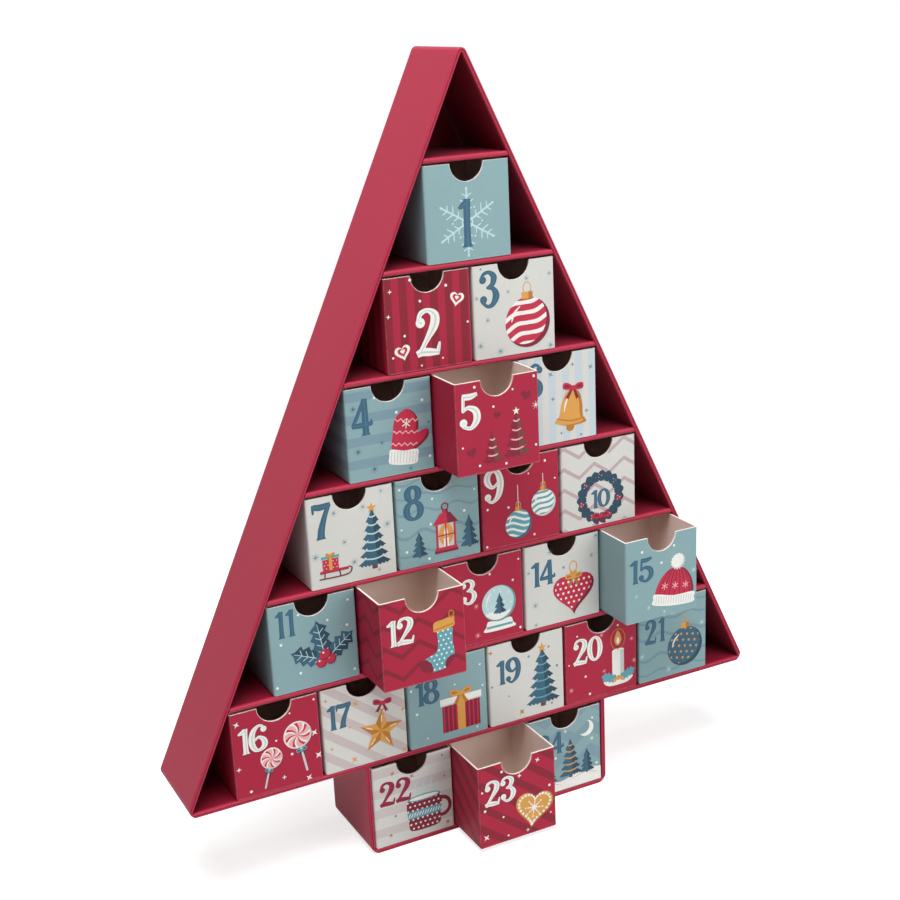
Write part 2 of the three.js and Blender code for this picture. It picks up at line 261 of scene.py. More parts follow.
# All pens are heavier by PEN_WEIGHT. From one digit to the next it is DIGIT_ADVANCE, but less after
# a 1. A streak has a share of the strokes' width and lies beside their middle, and the white
# numerals have an edge round them, both in millimetres. One numeral is dark red.
RUBY_NUMERAL = 22
PEN_WEIGHT = 1.22
DIGIT_ADVANCE = 9.6
ONE_ADVANCE = 6.6
STREAK_SHARE = 0.22
STREAK_SHIFT = (0.28, -0.1)
NUMERAL_EDGE = 0.6

# Printed ink in millimetres: how far the first layer stands out of the card and how deep its root
# is, and what each level more adds to both. The levels are those of the first layers.
INK_FIRST = 0.03
INK_ROOT = 0.06
INK_STEP = 0.015
NUMERAL_LEVEL = 1
PICTURE_LEVEL = 2
UNDER_NUMERAL_LEVEL = -1

# Specks vary in size by a factor and turn by up to SPECK_TURN, in radians. A star's waist grows
# with its radius over its number of rays. The density, per square metre, is before thinning.
SPECK_SIZES = (0.7, 1.2)
SPECK_TURN = 0.78
STAR_WAIST = 1.3
SPECK_DENSITY = 30000.0

# Wreath on the tenth drawer, in millimetres: its middle, its radius and its leaves, which lean out
# and in by LEAF_LEAN, in radians, and lie LEAF_STEP over one another
WREATH_MIDDLE = (27.0, 17.5)
WREATH_RADIUS = 13.1
WREATH_LEAVES = 19
LEAF_LENGTH = 9.4
LEAF_WIDTH = 3.3
LEAF_LEAN = 0.8
LEAF_STEP = 0.008

# Floor in metres: how far it reaches, how much it glows to the camera, and between which distances
# from the calendar it turns plain white
FLOOR_REACH = 30.0
FLOOR_GLOW = 0.75
FLOOR_WHITE = (0.3, 0.8)

# Lamps in metres: their place and their side
KEY_LAMP = ((0.9, -1.4, 0.7), 1.3)
TOP_LAMP = ((-0.25, -0.35, 1.6), 0.9)

# Camera of the photograph: its place in metres, its turns in radians, its lens and sensor in
# millimetres
CAMERA_PLACE = (-0.36715, -0.73022, 0.48423)
CAMERA_YAW = -0.4613
CAMERA_PITCH = -0.3021
CAMERA_ROLL = -0.0477
CAMERA_LENS = 58.654
CAMERA_SENSOR = 36.0


# Settings that a user would change


def linear(code):
    """A web colour such as b4304c as linear red, green and blue."""
    parts = [int(code[i : i + 2], 16) / 255 for i in (0, 2, 4)]
    return tuple(p / 12.92 if p <= 0.04045 else ((p + 0.055) / 1.055) ** 2.4 for p in parts)


def colour(name, description, code):
    """A colour property whose default is written as a six-figure web colour."""
    return FloatVectorProperty(
        name=name, description=description, subtype="COLOR", size=3, min=0.0, max=1.0,
        default=linear(code),
    )


def roughness_property(description, default):
    return FloatProperty(
        name="Roughness", description=description, default=default, min=0.0, max=1.0,
        subtype="FACTOR",
    )


def power_property(name, description, default):
    return FloatProperty(
        name=name, description=description, default=default, min=0.0, max=500.0, unit="POWER",
    )


class BoardFinish(bpy.types.PropertyGroup):
    """Paper that the boards of the frame are wrapped in."""

    paper: colour("Paper", "Colour of the wrapping paper on the outside", "ac2943")
    # Painted shade: a darker colour for the paper inside the compartments
    lining: colour("Lining", "Colour of the paper inside the compartments", "80112a")
    worn: colour("Worn edges", "Colour where the wrapped edges are rubbed", "a53c50")
    fibre: FloatProperty(
        name="Fibre", description="Length of one fleck in the paper", default=0.0009,
        min=0.0002, max=0.005, unit="LENGTH", precision=5,
    )
    roughness: roughness_property("Roughness of the wrapping paper", 0.52)


class CardFinish(bpy.types.PropertyGroup):
    """Printed card of the drawers."""

    teal: colour("Teal ground", "Ground of the teal drawers", "86a5a9")
    red: colour("Red ground", "Ground of the red drawers", "a5223d")
    white: colour("White ground", "Ground of the white drawers", "cfcfca")
    teal_tone: colour("Teal tone", "Second tone of patterns on teal", "7894a0")
    red_tone: colour("Red tone", "Second tone of patterns on red", "80202f")
    blush_tone: colour("Blush tone", "Pink patterns on the white drawers", "b7a0a2")
    haze_tone: colour("Haze tone", "Blue stripes on the white drawers", "bccbd1")
    inside: colour("Inside", "Unprinted inside of the drawers", "ecdad0")
    cut: colour("Cut edge", "Cut edges of the card", "e4dad3")
    roughness: roughness_property("Roughness of the printed card", 0.55)


class InkSet(bpy.types.PropertyGroup):
    """Printing inks."""

    navy: colour("Navy", "Numerals and firs", "3a6075")
    steel: colour("Steel", "Streaks in the navy numerals", "456d83")
    deep: colour("Deep navy", "Shaded side of what is navy", "2b4657")
    slate: colour("Slate", "Stars on the white drawers", "6f909c")
    teal: colour("Teal", "Ribbons, bands and baubles", "5f9ea8")
    mist: colour("Mist", "Pale lines on teal", "b6d3d5")
    snow: colour("Snow", "White ink", "e9e9e3")
    shade: colour("Snow shade", "Shaded side of what is white", "c6c9c8")
    red: colour("Red", "Red ink", "bc2c47")
    ruby: colour("Ruby", "The red numeral", "8f2541")
    wine: colour("Wine", "Dark red ink", "7c1f34")
    blush: colour("Blush", "Pale pink ink", "e5a9ab")
    gold: colour("Gold", "Gold ink", "d39a4c")
    amber: colour("Amber", "Shaded side of what is gold", "b3762f")
    bark: colour("Bark", "Brown ink", "70403a")


class PrintLayout(bpy.types.PropertyGroup):
    """Snow scattered over the drawers' fronts."""

    spacing: FloatProperty(
        name="Spacing", description="Least distance between two specks", default=0.0125,
        min=0.004, max=0.03, unit="LENGTH",
    )
    flake: FloatProperty(
        name="Flake radius", description="Radius of a round flake of snow", default=0.00074,
        min=0.0002, max=0.003, unit="LENGTH", precision=5,
    )
    star: FloatProperty(
        name="Star size", description="Reach of the stars against that in the list of specks",
        default=1.0, min=0.2, max=2.0, subtype="FACTOR",
    )
    seed: IntProperty(name="Seed", description="Changes where the specks lie", default=3, min=0)


class StageLights(bpy.types.PropertyGroup):
    """Floor and lights."""

    floor: colour("Floor", "Colour of the floor", "c8c8c8")
    key: power_property("Key light", "Power of the large lamp in front", 17.0)
    top: power_property("Top light", "Power of the lamp overhead", 30.0)
    sky: FloatProperty(
        name="Sky", description="Strength of the even light from all sides", default=0.1,
        min=0.0, max=2.0,
    )


SETTINGS = {
    "calendar_boards": BoardFinish,
    "calendar_card": CardFinish,
    "calendar_inks": InkSet,
    "calendar_print": PrintLayout,
    "calendar_stage": StageLights,
}
INKS = tuple(InkSet.__annotations__)


# Materials


class Nodes:
    """A node tree, written as short expressions."""

    def __init__(self, tree):
        self.tree = tree
        tree.nodes.clear()

    def feed(self, socket, value):
        """Links another node's socket to this one, or sets its value."""
        if isinstance(value, bpy.types.NodeSocket):
            self.tree.links.new(value, socket)
        elif socket.type == "RGBA":
            socket.default_value = (*value[:3], 1.0)
        else:
            socket.default_value = value

    def add(self, kind, values=None, **settings):
        """A new node with these settings, its inputs fed by name or number."""
        node = self.tree.nodes.new(kind)
        for key, value in settings.items():
            setattr(node, key, value)
        for key, value in (values or {}).items():
            self.feed(node.inputs[key], value)
        return node

    def made(self, kind, values=None, **settings):
        """The first output of a new node."""
        return self.add(kind, values, **settings).outputs[0]

    def math(self, operation, *values):
        return self.made("ShaderNodeMath", dict(enumerate(values)), operation=operation)

    def product(self, found, *others):
        for value in others:
            found = self.math("MULTIPLY", found, value)
        return found

    def seen(self):
        """1 to the camera, also by way of a glossy face, and 0 to light that bounces about."""
        path = self.add("ShaderNodeLightPath").outputs
        return self.math("MAXIMUM", path["Is Camera Ray"], path["Is Glossy Ray"])


class Shader(Nodes):
    """The nodes of one material."""

    def __init__(self, name):
        self.material = bpy.data.materials.new(name)
        self.material.use_nodes = True
        super().__init__(self.material.node_tree)
        self.place = self.add("ShaderNodeTexCoord").outputs["Object"]
        self.x, self.y, self.z = self.add("ShaderNodeSeparateXYZ", {0: self.place}).outputs

    def ramp(self, value, start, end):
        """0 up to start, 1 from end on, and smooth between them. start may be above end."""
        values = {"Value": value, "From Min": min(start, end), "From Max": max(start, end)}
        if start > end:
            values |= {"To Min": 1.0, "To Max": 0.0}
        return self.made("ShaderNodeMapRange", values, interpolation_type="SMOOTHSTEP")

    def near(self, value, origin, start, end):
        """A ramp from start to end millimetres past a place that is given in metres."""
        return self.ramp(value, origin + start * MM, origin + end * MM)

    def span(self, value, low, high):
        """value moved from 0..1 to low..high."""
        return self.math("MULTIPLY_ADD", value, high - low, low)

    def blend(self, factor, first, second):
        """first where the factor is 0, second where it is 1."""
        node = self.add("ShaderNodeMix", {0: factor, 6: first, 7: second}, data_type="RGBA",
                        clamp_factor=True)
        return node.outputs[2]

    def tint(self, base, factor):
        """A colour made lighter or darker by a number near 1."""
        grey = self.made("ShaderNodeCombineColor", dict.fromkeys(range(3), factor))
        node = self.add("ShaderNodeMix", {0: 1.0, 6: base, 7: grey}, data_type="RGBA",
                        blend_type="MULTIPLY")
        return node.outputs[2]

    def noise(self, size, detail, stretch=(1.0, 1.0, 1.0), shift=0.0):
        """Noise from 0 to 1 whose patches are about this size in metres."""
        moved = self.made("ShaderNodeMapping", {
            "Vector": self.place, "Scale": stretch,
            "Location": (shift, shift * 0.7, shift * 1.3),
        })
        node = self.add("ShaderNodeTexNoise",
                        {"Vector": moved, "Scale": 1.0 / size, "Detail": detail})
        return node.outputs["Fac"]

    def surface(self, base, roughness, bumps, specular, sheen=0.0):
        """Closes the material. Each bump is a height from 0 to 1 and its depth in metres."""
        under = {}
        for height, depth in bumps:
            under = {"Normal": self.made("ShaderNodeBump", {
                "Strength": 1.0, "Distance": depth, "Height": height, **under,
            })}
        return self.close(self.made("ShaderNodeBsdfPrincipled", {
            "Base Color": base, "Roughness": roughness, "Specular IOR Level": specular,
            "Sheen Weight": sheen, "Sheen Roughness": 0.5, **under,
        }))

    def close(self, shader):
        """Ends the material in this shader."""
        self.add("ShaderNodeOutputMaterial", {"Surface": shader})
        return self.material


def wrapping_paper(finish):
    """Matt crimson paper with short flecks, darkened inside the compartments as painted shade, and
    rubbed along its front edges.
    """
    paper = Shader("wrapping_paper")

    # Painted shade: the paper takes a darker colour where shade falls in the compartments. That is
    # between the slopes and over the tree's floor, and between the trunk's sides and over the
    # trunk's floor, but not on the boards' front and rear edges.
    width = paper.math("ABSOLUTE", paper.x)
    below_top = paper.math("SUBTRACT", TOP_SHELF.z, paper.z)
    slope_inside = paper.math(
        "SUBTRACT", paper.math("MULTIPLY_ADD", below_top, SLOPE, TOP_SHELF.x), width
    )
    trunk_inside = paper.math("SUBTRACT", TRUNK_INNER, width)
    in_tree = paper.near(slope_inside, 0.0, -1.2, -0.4)
    above = paper.near(paper.z, TREE_UNDERSIDE, 0.9, 1.8)
    in_trunk = paper.near(trunk_inside, 0.0, -0.5, 0.0)
    below = paper.near(paper.z, TREE_UNDERSIDE, -0.4, -0.8)
    over_floor = paper.near(paper.z, 0.0, 1.6, 2.4)
    inside = paper.math(
        "MAXIMUM", paper.product(in_tree, above), paper.product(in_trunk, below, over_floor)
    )
    behind = paper.near(paper.y, FRONT_EDGE, 0.9, 3.0)
    before = paper.near(paper.y, REAR_EDGE, -0.3, -0.8)
    # Painted shade darkens the paper inside the compartments
    base = paper.blend(paper.product(inside, behind, before), finish.paper, finish.lining)

    cloud = paper.noise(0.06, 3.0)
    fleck = paper.noise(finish.fibre, 2.0, stretch=(1.0, 1.0, 0.35))
    grain = paper.noise(finish.fibre * 0.3, 2.0)
    base = paper.tint(base, paper.span(cloud, 0.94, 1.06))
    base = paper.tint(base, paper.span(fleck, 0.93, 1.07))
    rub = paper.noise(0.004, 4.0, shift=2.0)
    edge = paper.near(paper.y, FRONT_EDGE, 0.9, 0.1)
    worn = paper.product(edge, paper.span(paper.ramp(rub, 0.35, 0.7), 0.15, 0.55))
    base = paper.blend(worn, base, finish.worn)
    rough = paper.math("ADD", paper.span(fleck, -0.05, 0.05), finish.roughness)
    return paper.surface(
        base, rough, [(cloud, 0.12 * MM), (fleck, 0.03 * MM), (grain, 0.012 * MM)],
        specular=0.18, sheen=0.03,
    )


def pattern_share(card, pattern, s, v):
    """1 on the second tone of a background pattern, drawn over s and v in millimetres."""
    repeat = pattern.repeat
    if pattern.kind == "upright":
        height = s
    elif pattern.kind == "level":
        height = v
    elif pattern.kind == "slanting":
        height = card.math("MULTIPLY_ADD", s, SLANT, v)
    elif pattern.kind == "zigzag":
        swing = card.math("PINGPONG", card.math("SUBTRACT", s, ZIGZAG_PEAK), ZIGZAG_PERIOD / 2)
        height = card.math("MULTIPLY_ADD", swing, ZIGZAG_RISE, v)
    else:
        height = v
        for along, (period, rise) in ((s, SHORT_WAVE), (v, LONG_WAVE)):
            swing = card.math("SINE", card.math("MULTIPLY", along, math.tau / (period * repeat)))
            height = card.math("MULTIPLY_ADD", swing, rise * repeat, height)
    level = card.math("DIVIDE", card.math("SUBTRACT", height, pattern.start), repeat)
    off_middle = card.math("PINGPONG", level, 0.5)
    soft = PATTERN_SOFT / repeat
    return card.ramp(off_middle, pattern.share / 2 + soft, pattern.share / 2 - soft)


def printed_card(number, finish):
    """Card of one drawer: printed outside, plain inside, and pale where it is cut or rubbed."""
    low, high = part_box(f"drawer_{number:02d}")
    ground = {"T": "teal", "R": "red", "W": "white"}[GROUNDS[number - 1]]
    printed = getattr(finish, ground)
    card = Shader(f"printed_card_{number:02d}")

    # In millimetres: across from the middle, back from the front, v up, dx and dy in from the sides
    def over(socket, start):
        return card.math("MULTIPLY", card.math("SUBTRACT", socket, start), 1 / MM)

    across = over(card.x, (low.x + high.x) / 2)
    back = over(card.y, low.y)
    v = over(card.z, low.z)
    half_depth = DEPTH / MM / 2
    from_middle = card.math("ABSOLUTE", card.math("SUBTRACT", back, half_depth))
    dx = card.math("SUBTRACT", MIDDLE, card.math("ABSOLUTE", across))
    dy = card.math("SUBTRACT", half_depth, from_middle)

    # Patterns run on round the front corners: s is the way along the wrapped card
    s = card.math("MULTIPLY_ADD", card.math("SIGN", across), back, card.math("ADD", across, MIDDLE))
    base = printed
    fleck = card.noise(0.0011, 2.0, shift=number)
    cloud = card.noise(0.035, 3.0, shift=number)
    if number in PATTERNS:
        pattern = PATTERNS[number]
        wear = card.span(card.ramp(fleck, 0.25, 0.6), 0.75, 1.0)
        tone = card.product(pattern_share(card, pattern, s, v), wear, pattern.strength)
        base = card.blend(tone, base, getattr(finish, pattern.tone))
    base = card.tint(base, card.span(cloud, 0.95, 1.05))
    base = card.tint(base, card.span(fleck, 0.95, 1.05))

    # Rubbed folds: the upright corners, the lower edges, and a hairline along the cut edges
    rub = card.noise(0.0022, 4.0, shift=number + 0.5)
    corner = card.ramp(card.math("ADD", dx, dy), *CORNER_WEAR)
    lower = card.ramp(card.math("ADD", v, card.math("MINIMUM", dx, dy)), *LOWER_WEAR)
    below_top = card.math("SUBTRACT", v, FACE_HEIGHT)
    squares = [card.math("POWER", length, 2.0) for length in (across, below_top)]
    from_notch = card.math("SQRT", card.math("ADD", *squares))
    in_front = card.math("LESS_THAN", back, CARD + 0.05)

    def under_rim(start, end):
        return card.ramp(v, FACE_HEIGHT - start, FACE_HEIGHT - end)

    def round_notch(start, end):
        return card.product(card.ramp(from_notch, NOTCH + start, NOTCH + end), in_front)

    worn = card.span(card.ramp(rub, 0.3, 0.62), 0.3, 0.85)
    folds = card.math("MAXIMUM", corner, card.math("MULTIPLY", lower, 0.7))
    paler = [part + FOLD_PALENESS * (pale - part) for part, pale in zip(printed, finish.cut)]
    base = card.blend(card.product(folds, worn), base, paler)
    along_cuts = card.math("MAXIMUM", under_rim(*RIM_WEAR), round_notch(*NOTCH_WEAR))
    hairline = card.product(along_cuts, worn)
    base = card.blend(hairline, base, finish.cut if ground != "white" else finish.white)

    # Unprinted inside, with a trace of glue and dust in its corners
    into = card.math("MINIMUM", card.math("MINIMUM", dx, dy), v)
    inside = card.ramp(into, CARD * 0.55, CARD * 0.8)
    plain = card.tint(finish.inside, card.span(cloud, 0.93, 1.05))
    plain = card.tint(plain, card.span(card.noise(0.0006, 3.0), 0.93, 1.07))
    seam = card.ramp(card.math("MINIMUM", card.math("MAXIMUM", dx, dy), v), 1.0, 2.2)
    base = card.blend(inside, base, plain)

    # Cut edges: the rim, and the wall of the notch
    wall = card.product(round_notch(*BARE_CUT), card.ramp(dy, 0.03, 0.06))
    cut = card.math("MAXIMUM", under_rim(*BARE_CUT), wall)
    base = card.blend(cut, base, card.tint(finish.cut, card.span(fleck, 0.9, 1.06)))

    rough = card.math("ADD", card.span(fleck, -0.06, 0.06), finish.roughness)
    bare = card.math("MAXIMUM", inside, cut)
    rough = card.math("ADD", rough, card.math("MULTIPLY", bare, 0.25))
    return card.surface(
        base, rough, [(cloud, 0.1 * MM), (fleck, 0.02 * MM), (seam, 0.02 * MM)],
        specular=0.2,
    )


def printing_ink(name, shade):
    """Ink that lets a little of the card's grain through."""
    film = Shader(f"ink_{name}")
    fleck = film.noise(0.0007, 3.0, shift=1.0)
    cloud = film.noise(0.006, 2.0, shift=4.0)
    base = film.tint(shade, film.span(cloud, 0.93, 1.07))
    base = film.tint(base, film.span(fleck, 0.93, 1.07))
    rough = film.span(fleck, 0.42, 0.58)
    return film.surface(base, rough, [(fleck, 0.015 * MM)], specular=0.22)


# Flat shapes, each a list of simple outlines in millimetres


def anticlockwise(points):
    """An outline turned so that it runs anticlockwise."""
    area = sum(a[0] * b[1] - b[0] * a[1] for a, b in zip(points, points[1:] + points[:1]))
    return points if area > 0 else points[::-1]


def angles(count):
    """Equal steps of a full turn."""
    return [math.tau * i / count for i in range(count)]


def oval(x, y, rx, ry=None, sides=32):
    """Oval, or a circle if only one radius is given."""
    ry = rx if ry is None else ry
    return [[(x + rx * math.cos(a), y + ry * math.sin(a)) for a in angles(sides)]]


def star(x, y, outer, inner, points):
    """Star whose points reach to outer and whose valleys lie at inner."""
    steps = [(math.pi * i / points, inner if i % 2 else outer) for i in range(2 * points)]
    return [[(x + r * math.sin(a), y + r * math.cos(a)) for a, r in steps]]


def polygon(*points):
    """Straight-sided outline."""
    return [anticlockwise(list(points))]


def box(x0, y0, x1, y1):
    """Upright rectangle between two corners."""
    return polygon((x0, y0), (x1, y0), (x1, y1), (x0, y1))


def curve(points, closed, steps):
    """Points on a smooth curve through the given ones, each with as many numbers as they have."""
    count = len(points)
    last = count if closed else count - 1
    if count < 3:
        return [tuple(p) for p in points]
    found = []
    for i in range(last):
        p0, p1, p2, p3 = (
            points[k % count if closed else min(max(k, 0), count - 1)] for k in range(i - 1, i + 3)
        )
        for step in range(steps):
            t = step / steps
            found.append(tuple(
                0.5 * (2 * b + (c - a) * t + (2 * a - 5 * b + 4 * c - d) * t**2
                       + (3 * b - a - 3 * c + d) * t**3)
                for a, b, c, d in zip(p0, p1, p2, p3)
            ))
    if not closed:
        found.append(tuple(points[-1]))
    return found


def blob(points, steps=6):
    """Closed smooth outline through the points."""
    return [anticlockwise(curve(points, True, steps))]


def hull(points):
    """The points on the outside, in order."""
    order = convex_hull_2d([Vector(p) for p in points])
    return anticlockwise([points[i] for i in order])


def pen(points, closed=False, steps=6, blunt=False):
    """A stroke through points x, y, width, as short pieces that share their ends."""
    if len(points) == 1:
        x, y, width = points[0]
        return oval(x, y, width / 2, sides=20)
    path = curve(points, closed, steps)
    count = len(path)
    sides = []
    for i, (x, y, width) in enumerate(path):
        before = path[i - 1] if closed or i > 0 else path[i]
        after = path[(i + 1) % count] if closed or i < count - 1 else path[i]
        along = Vector((after[0] - before[0], after[1] - before[1])).normalized()
        across = Vector((-along.y, along.x)) * width / 2
        sides.append(((x + across.x, y + across.y), (x - across.x, y - across.y)))
    pairs = list(zip(sides, sides[1:] + sides[:1] if closed else sides[1:]))
    made = [hull([*a, *b]) for a, b in pairs]
    if not closed and not blunt:
        for x, y, width in (path[0], path[-1]):
            made += oval(x, y, width / 2, sides=12)
    return made


def line(x0, y0, x1, y1, width, end_width=None):
    """Straight stroke with round ends, tapered if asked."""
    return pen([(x0, y0, width), (x1, y1, width if end_width is None else end_width)])


def ring(x, y, radius, width, squeeze=1.0):
    """Ring drawn with a pen, its height its width times squeeze."""
    return pen([(x + radius * math.cos(a), y + radius * squeeze * math.sin(a), width)
                for a in angles(10)], closed=True, steps=4)


def place(shapes, x=0.0, y=0.0, turn=0.0, size=1.0, flip=False):
    """Shapes drawn about (0, 0), scaled, mirrored if asked, turned in degrees and moved."""
    cos, sin = math.cos(math.radians(turn)) * size, math.sin(math.radians(turn)) * size
    side = -1 if flip else 1
    return [
        anticlockwise([(x + side * px * cos - py * sin, y + side * px * sin + py * cos)
                       for px, py in shape])
        for shape in shapes
    ]


def around(shapes, count):
    """Shapes repeated round (0, 0)."""
    return [s for i in range(count) for s in place(shapes, turn=360 * i / count)]


def rays(count, inner, outer, width, end_width=None):
    """Strokes round (0, 0), from an inner to an outer radius."""
    return around(line(0, inner, 0, outer, width, end_width), count)


def ribs(reach, step, low, high, width, slant=0.0):
    """Upright strokes side by side, as many on either side of the middle as reach says."""
    return [s for k in range(-reach, reach + 1)
            for s in line(k * step, low, k * step + slant, high, width)]


def spots(columns, rows, step, radius, start=(0.0, 0.0)):
    """Dots in rows, every other row shifted by half a step."""
    return [s for row in rows for column in columns for s in oval(
        start[0] + (column + 0.5 * (row % 2)) * step[0], start[1] + row * step[1], radius,
        sides=10)]


def both(shapes):
    """Shapes and their mirror images."""
    return shapes + place(shapes, flip=True)


# What one ink covers: the shapes it adds, the groups of shapes it stays inside, and its cuts
Layer = namedtuple("Layer", "ink adds masks cuts")


def ink(name, adds, within=None, cuts=()):
    """One layer of a picture."""
    return Layer(name, adds, [within] if within else [], list(cuts))


def moved(layers, **where):
    """A picture's layers, all placed alike."""
    return [
        Layer(l.ink, place(l.adds, **where), [place(m, **where) for m in l.masks],
              place(l.cuts, **where))
        for l in layers
    ]


def front_outline():
    """The printable front: the face inside its margins, without the notch."""
    edge, top = EDGE_MARGIN, FACE_HEIGHT - TOP_MARGIN
    radius, count = NOTCH + NOTCH_MARGIN, 30
    half = math.asin((FACE_HEIGHT - top) / radius)
    steps = [math.pi + half + (math.pi - 2 * half) * i / count for i in range(count + 1)]
    arc = [(MIDDLE + radius * math.cos(a), FACE_HEIGHT + radius * math.sin(a)) for a in steps]
    return polygon((edge, edge), (FACE_WIDTH - edge, edge), (FACE_WIDTH - edge, top),
                   *arc[::-1], (edge, top))


def region(adds, masks, cuts):
    """Corners and triangles of what the added shapes cover, inside every mask and no cut."""
    triangles_inside, merge_distance = 1, 1e-5
    groups = [adds, *masks, cuts]
    corners, faces, group_of = [], [], []
    for index, group in enumerate(groups):
        for shape in group:
            start = len(corners)
            corners += [Vector(p) for p in shape]
            faces.append(list(range(start, len(corners))))
            group_of.append(index)
    found, _, triangles, _, _, sources = delaunay_2d_cdt(
        corners, [], faces, triangles_inside, merge_distance
    )
    wanted = set(range(len(groups) - 1))
    return found, [
        tuple(triangle) for triangle, source in zip(triangles, sources)
        if {group_of[i] for i in source} == wanted
    ]


# Numerals


def digit_strokes(digit):
    """The pen strokes of a digit, if it has any."""
    if digit == "9":
        wide, high = DIGIT_FIELD
        return [[(wide - x, high - y, w) for x, y, w in stroke] for stroke in DIGITS["6"]]
    return DIGITS.get(digit, [])


def digit_shapes(digit, start, scale, grow, share):
    """One digit from its pen strokes, its field's lower left corner at start. share thins every
    stroke, and grow widens it in millimetres, for the edge that shows round it."""
    weight = (scale[0] + scale[1]) / 2 * PEN_WEIGHT * share

    def at(x, y, width):
        return start[0] + x * scale[0], start[1] + y * scale[1], width * weight + grow

    made = []
    for stroke in digit_strokes(digit):
        square = stroke[0] == CUT
        points = [at(*point) for point in stroke[square:]]
        made += pen(points, blunt=square)
        if square and grow:
            made += [shape for x, y, w in (points[0], points[-1])
                     for shape in oval(x, y, w / 2, grow, sides=12)]
    for x, y, rx, ry in LOOPS.get(digit, []):
        made += pen([at(x + rx * math.cos(a), y + ry * math.sin(a),
                        LOOP_THIN + LOOP_SWELL * abs(math.cos(a)) ** LOOP_POWER)
                     for a in angles(14)], closed=True, steps=3)
    return made


def figures(number, corner, scale, grow=0.0, share=1.0):
    """The digits of a number in a row that starts at a corner."""
    made, x = [], corner[0]
    for digit in str(number):
        made += digit_shapes(digit, (x, corner[1]), scale, grow, share)
        x += (ONE_ADVANCE if digit == "1" else DIGIT_ADVANCE) * scale[0]
    return made


def numeral_shapes(number, grow=0.0, share=1.0, shift=(0.0, 0.0)):
    """A numeral that fills its place in NUMERALS."""
    left, lower, width, height = NUMERALS[number]
    points = [point for shape in figures(number, (0.0, 0.0), (1.0, 1.0)) for point in shape]
    low = [min(point[axis] for point in points) for axis in (0, 1)]
    high = [max(point[axis] for point in points) for axis in (0, 1)]
    scale = (width / (high[0] - low[0]), height / (high[1] - low[1]))
    corner = (left - low[0] * scale[0] + shift[0], lower - low[1] * scale[1] + shift[1])
    return figures(number, corner, scale, grow, share)


def numeral_layers(number):
    """The numeral with a streak in its strokes, and under it the edge that the printer left."""
    main, streak = ("snow", "shade") if GROUNDS[number - 1] == "R" else ("navy", "steel")
    if number == RUBY_NUMERAL:
        main, streak = "ruby", "wine"
    body = numeral_shapes(number)
    inner = numeral_shapes(number, share=STREAK_SHARE, shift=STREAK_SHIFT)
    layers = [ink(main, body), ink(streak, inner, within=body)]
    if main == "snow":
        layers.insert(0, ink("wine", numeral_shapes(number, grow=NUMERAL_EDGE)))
    return layers


# Pictures, each drawn about its own middle or foot


def snowflake(reach, width, name):
    """Six arms with side twigs, and dots between them."""
    arm = line(0, 0, 0, reach, width)
    for at, length in ((0.34, 0.17), (0.55, 0.25), (0.77, 0.17)):
        arm += both(line(0, at * reach, length * reach * 0.87, (at + length * 0.5) * reach,
                         width * 0.85, width * 0.6))
    arm += place(polygon((0, -1.1), (0.75, 0), (0, 1.1), (-0.75, 0)), 0, reach, size=reach / 16)
    between = place(oval(0, 0, width * 0.6, sides=10), 0, reach * 0.5)
    return [ink(name, around(arm, 6) + place(around(between, 6), turn=30)
                + ring(0, 0, reach * 0.17, width * 0.8))]


def heart(size):
    """Outline of a heart, its size about half its width."""
    return [anticlockwise([
        (size / 17 * 16 * math.sin(t) ** 3,
         size / 17 * (13 * math.cos(t) - 5 * math.cos(2 * t) - 2 * math.cos(3 * t)
                      - math.cos(4 * t)))
        for t in angles(36)
    ])]


def bow(size, name="red", dark="wine"):
    """Ribbon tied in two loops and two tails."""
    loop = blob([(0, 0), (0.35, 0.42), (0.95, 0.5), (1.02, 0.02), (0.5, -0.12)])
    tail = polygon((-0.06, 0.1), (0.22, -0.02), (0.78, -0.95), (0.55, -0.82), (0.42, -1.02))
    hollow = blob([(0.28, 0.1), (0.5, 0.3), (0.85, 0.34), (0.84, 0.1)])
    return moved([
        ink(dark, both(tail)),
        ink(name, both(loop)),
        ink(dark, both(hollow)),
        ink(name, oval(0, 0.05, 0.2, 0.24, sides=18)),
    ], size=size)


def fir(height, width, tiers, name="navy", dark="deep", bands=None, crown=None):
    """Fir of overlapping tiers with ragged lower edges, standing on (0, 0)."""
    stump = 0.09 * height
    rise = (height - stump) / (tiers + 0.6)
    halves = [width / 2 * (1 - 0.72 * tier / tiers) for tier in range(tiers)]
    whole = []
    for tier, half in enumerate(halves):
        low = stump + tier * rise
        high = min(low + 1.9 * rise, height)
        teeth = 9 - tier
        lower = []
        for i in range(2 * teeth - 1, 0, -1):
            out = 1 - i / teeth
            notch = 0.0 if i % 2 else 0.22 * rise
            lower.append((half * out, low - notch - 0.16 * rise * (1 - abs(out))))
        whole += polygon((0, high), (-half * 0.28, low + 0.95 * rise), (-half, low),
                         *lower, (half, low), (half * 0.28, low + 0.95 * rise))
    layers = [ink("bark", box(-0.045 * height, 0, 0.045 * height, stump * 1.4)),
              ink(name, whole),
              ink(dark, whole, within=polygon((0.1 * width, 0), (width, 0), (width, height),
                                              (0, height)))]
    if bands:
        sweep = []
        for tier, half in enumerate(halves):
            low = stump + (tier + 0.62) * rise
            sweep += pen([(-half, low + 0.3 * rise, 0.7), (0, low - 0.12 * rise, 0.9),
                          (half, low + 0.34 * rise, 0.7)])
        layers.append(ink(bands, sweep, within=whole))
    if crown:
        layers.append(ink(crown, star(0, height, 0.085 * height, 0.036 * height, 5)))
    return layers


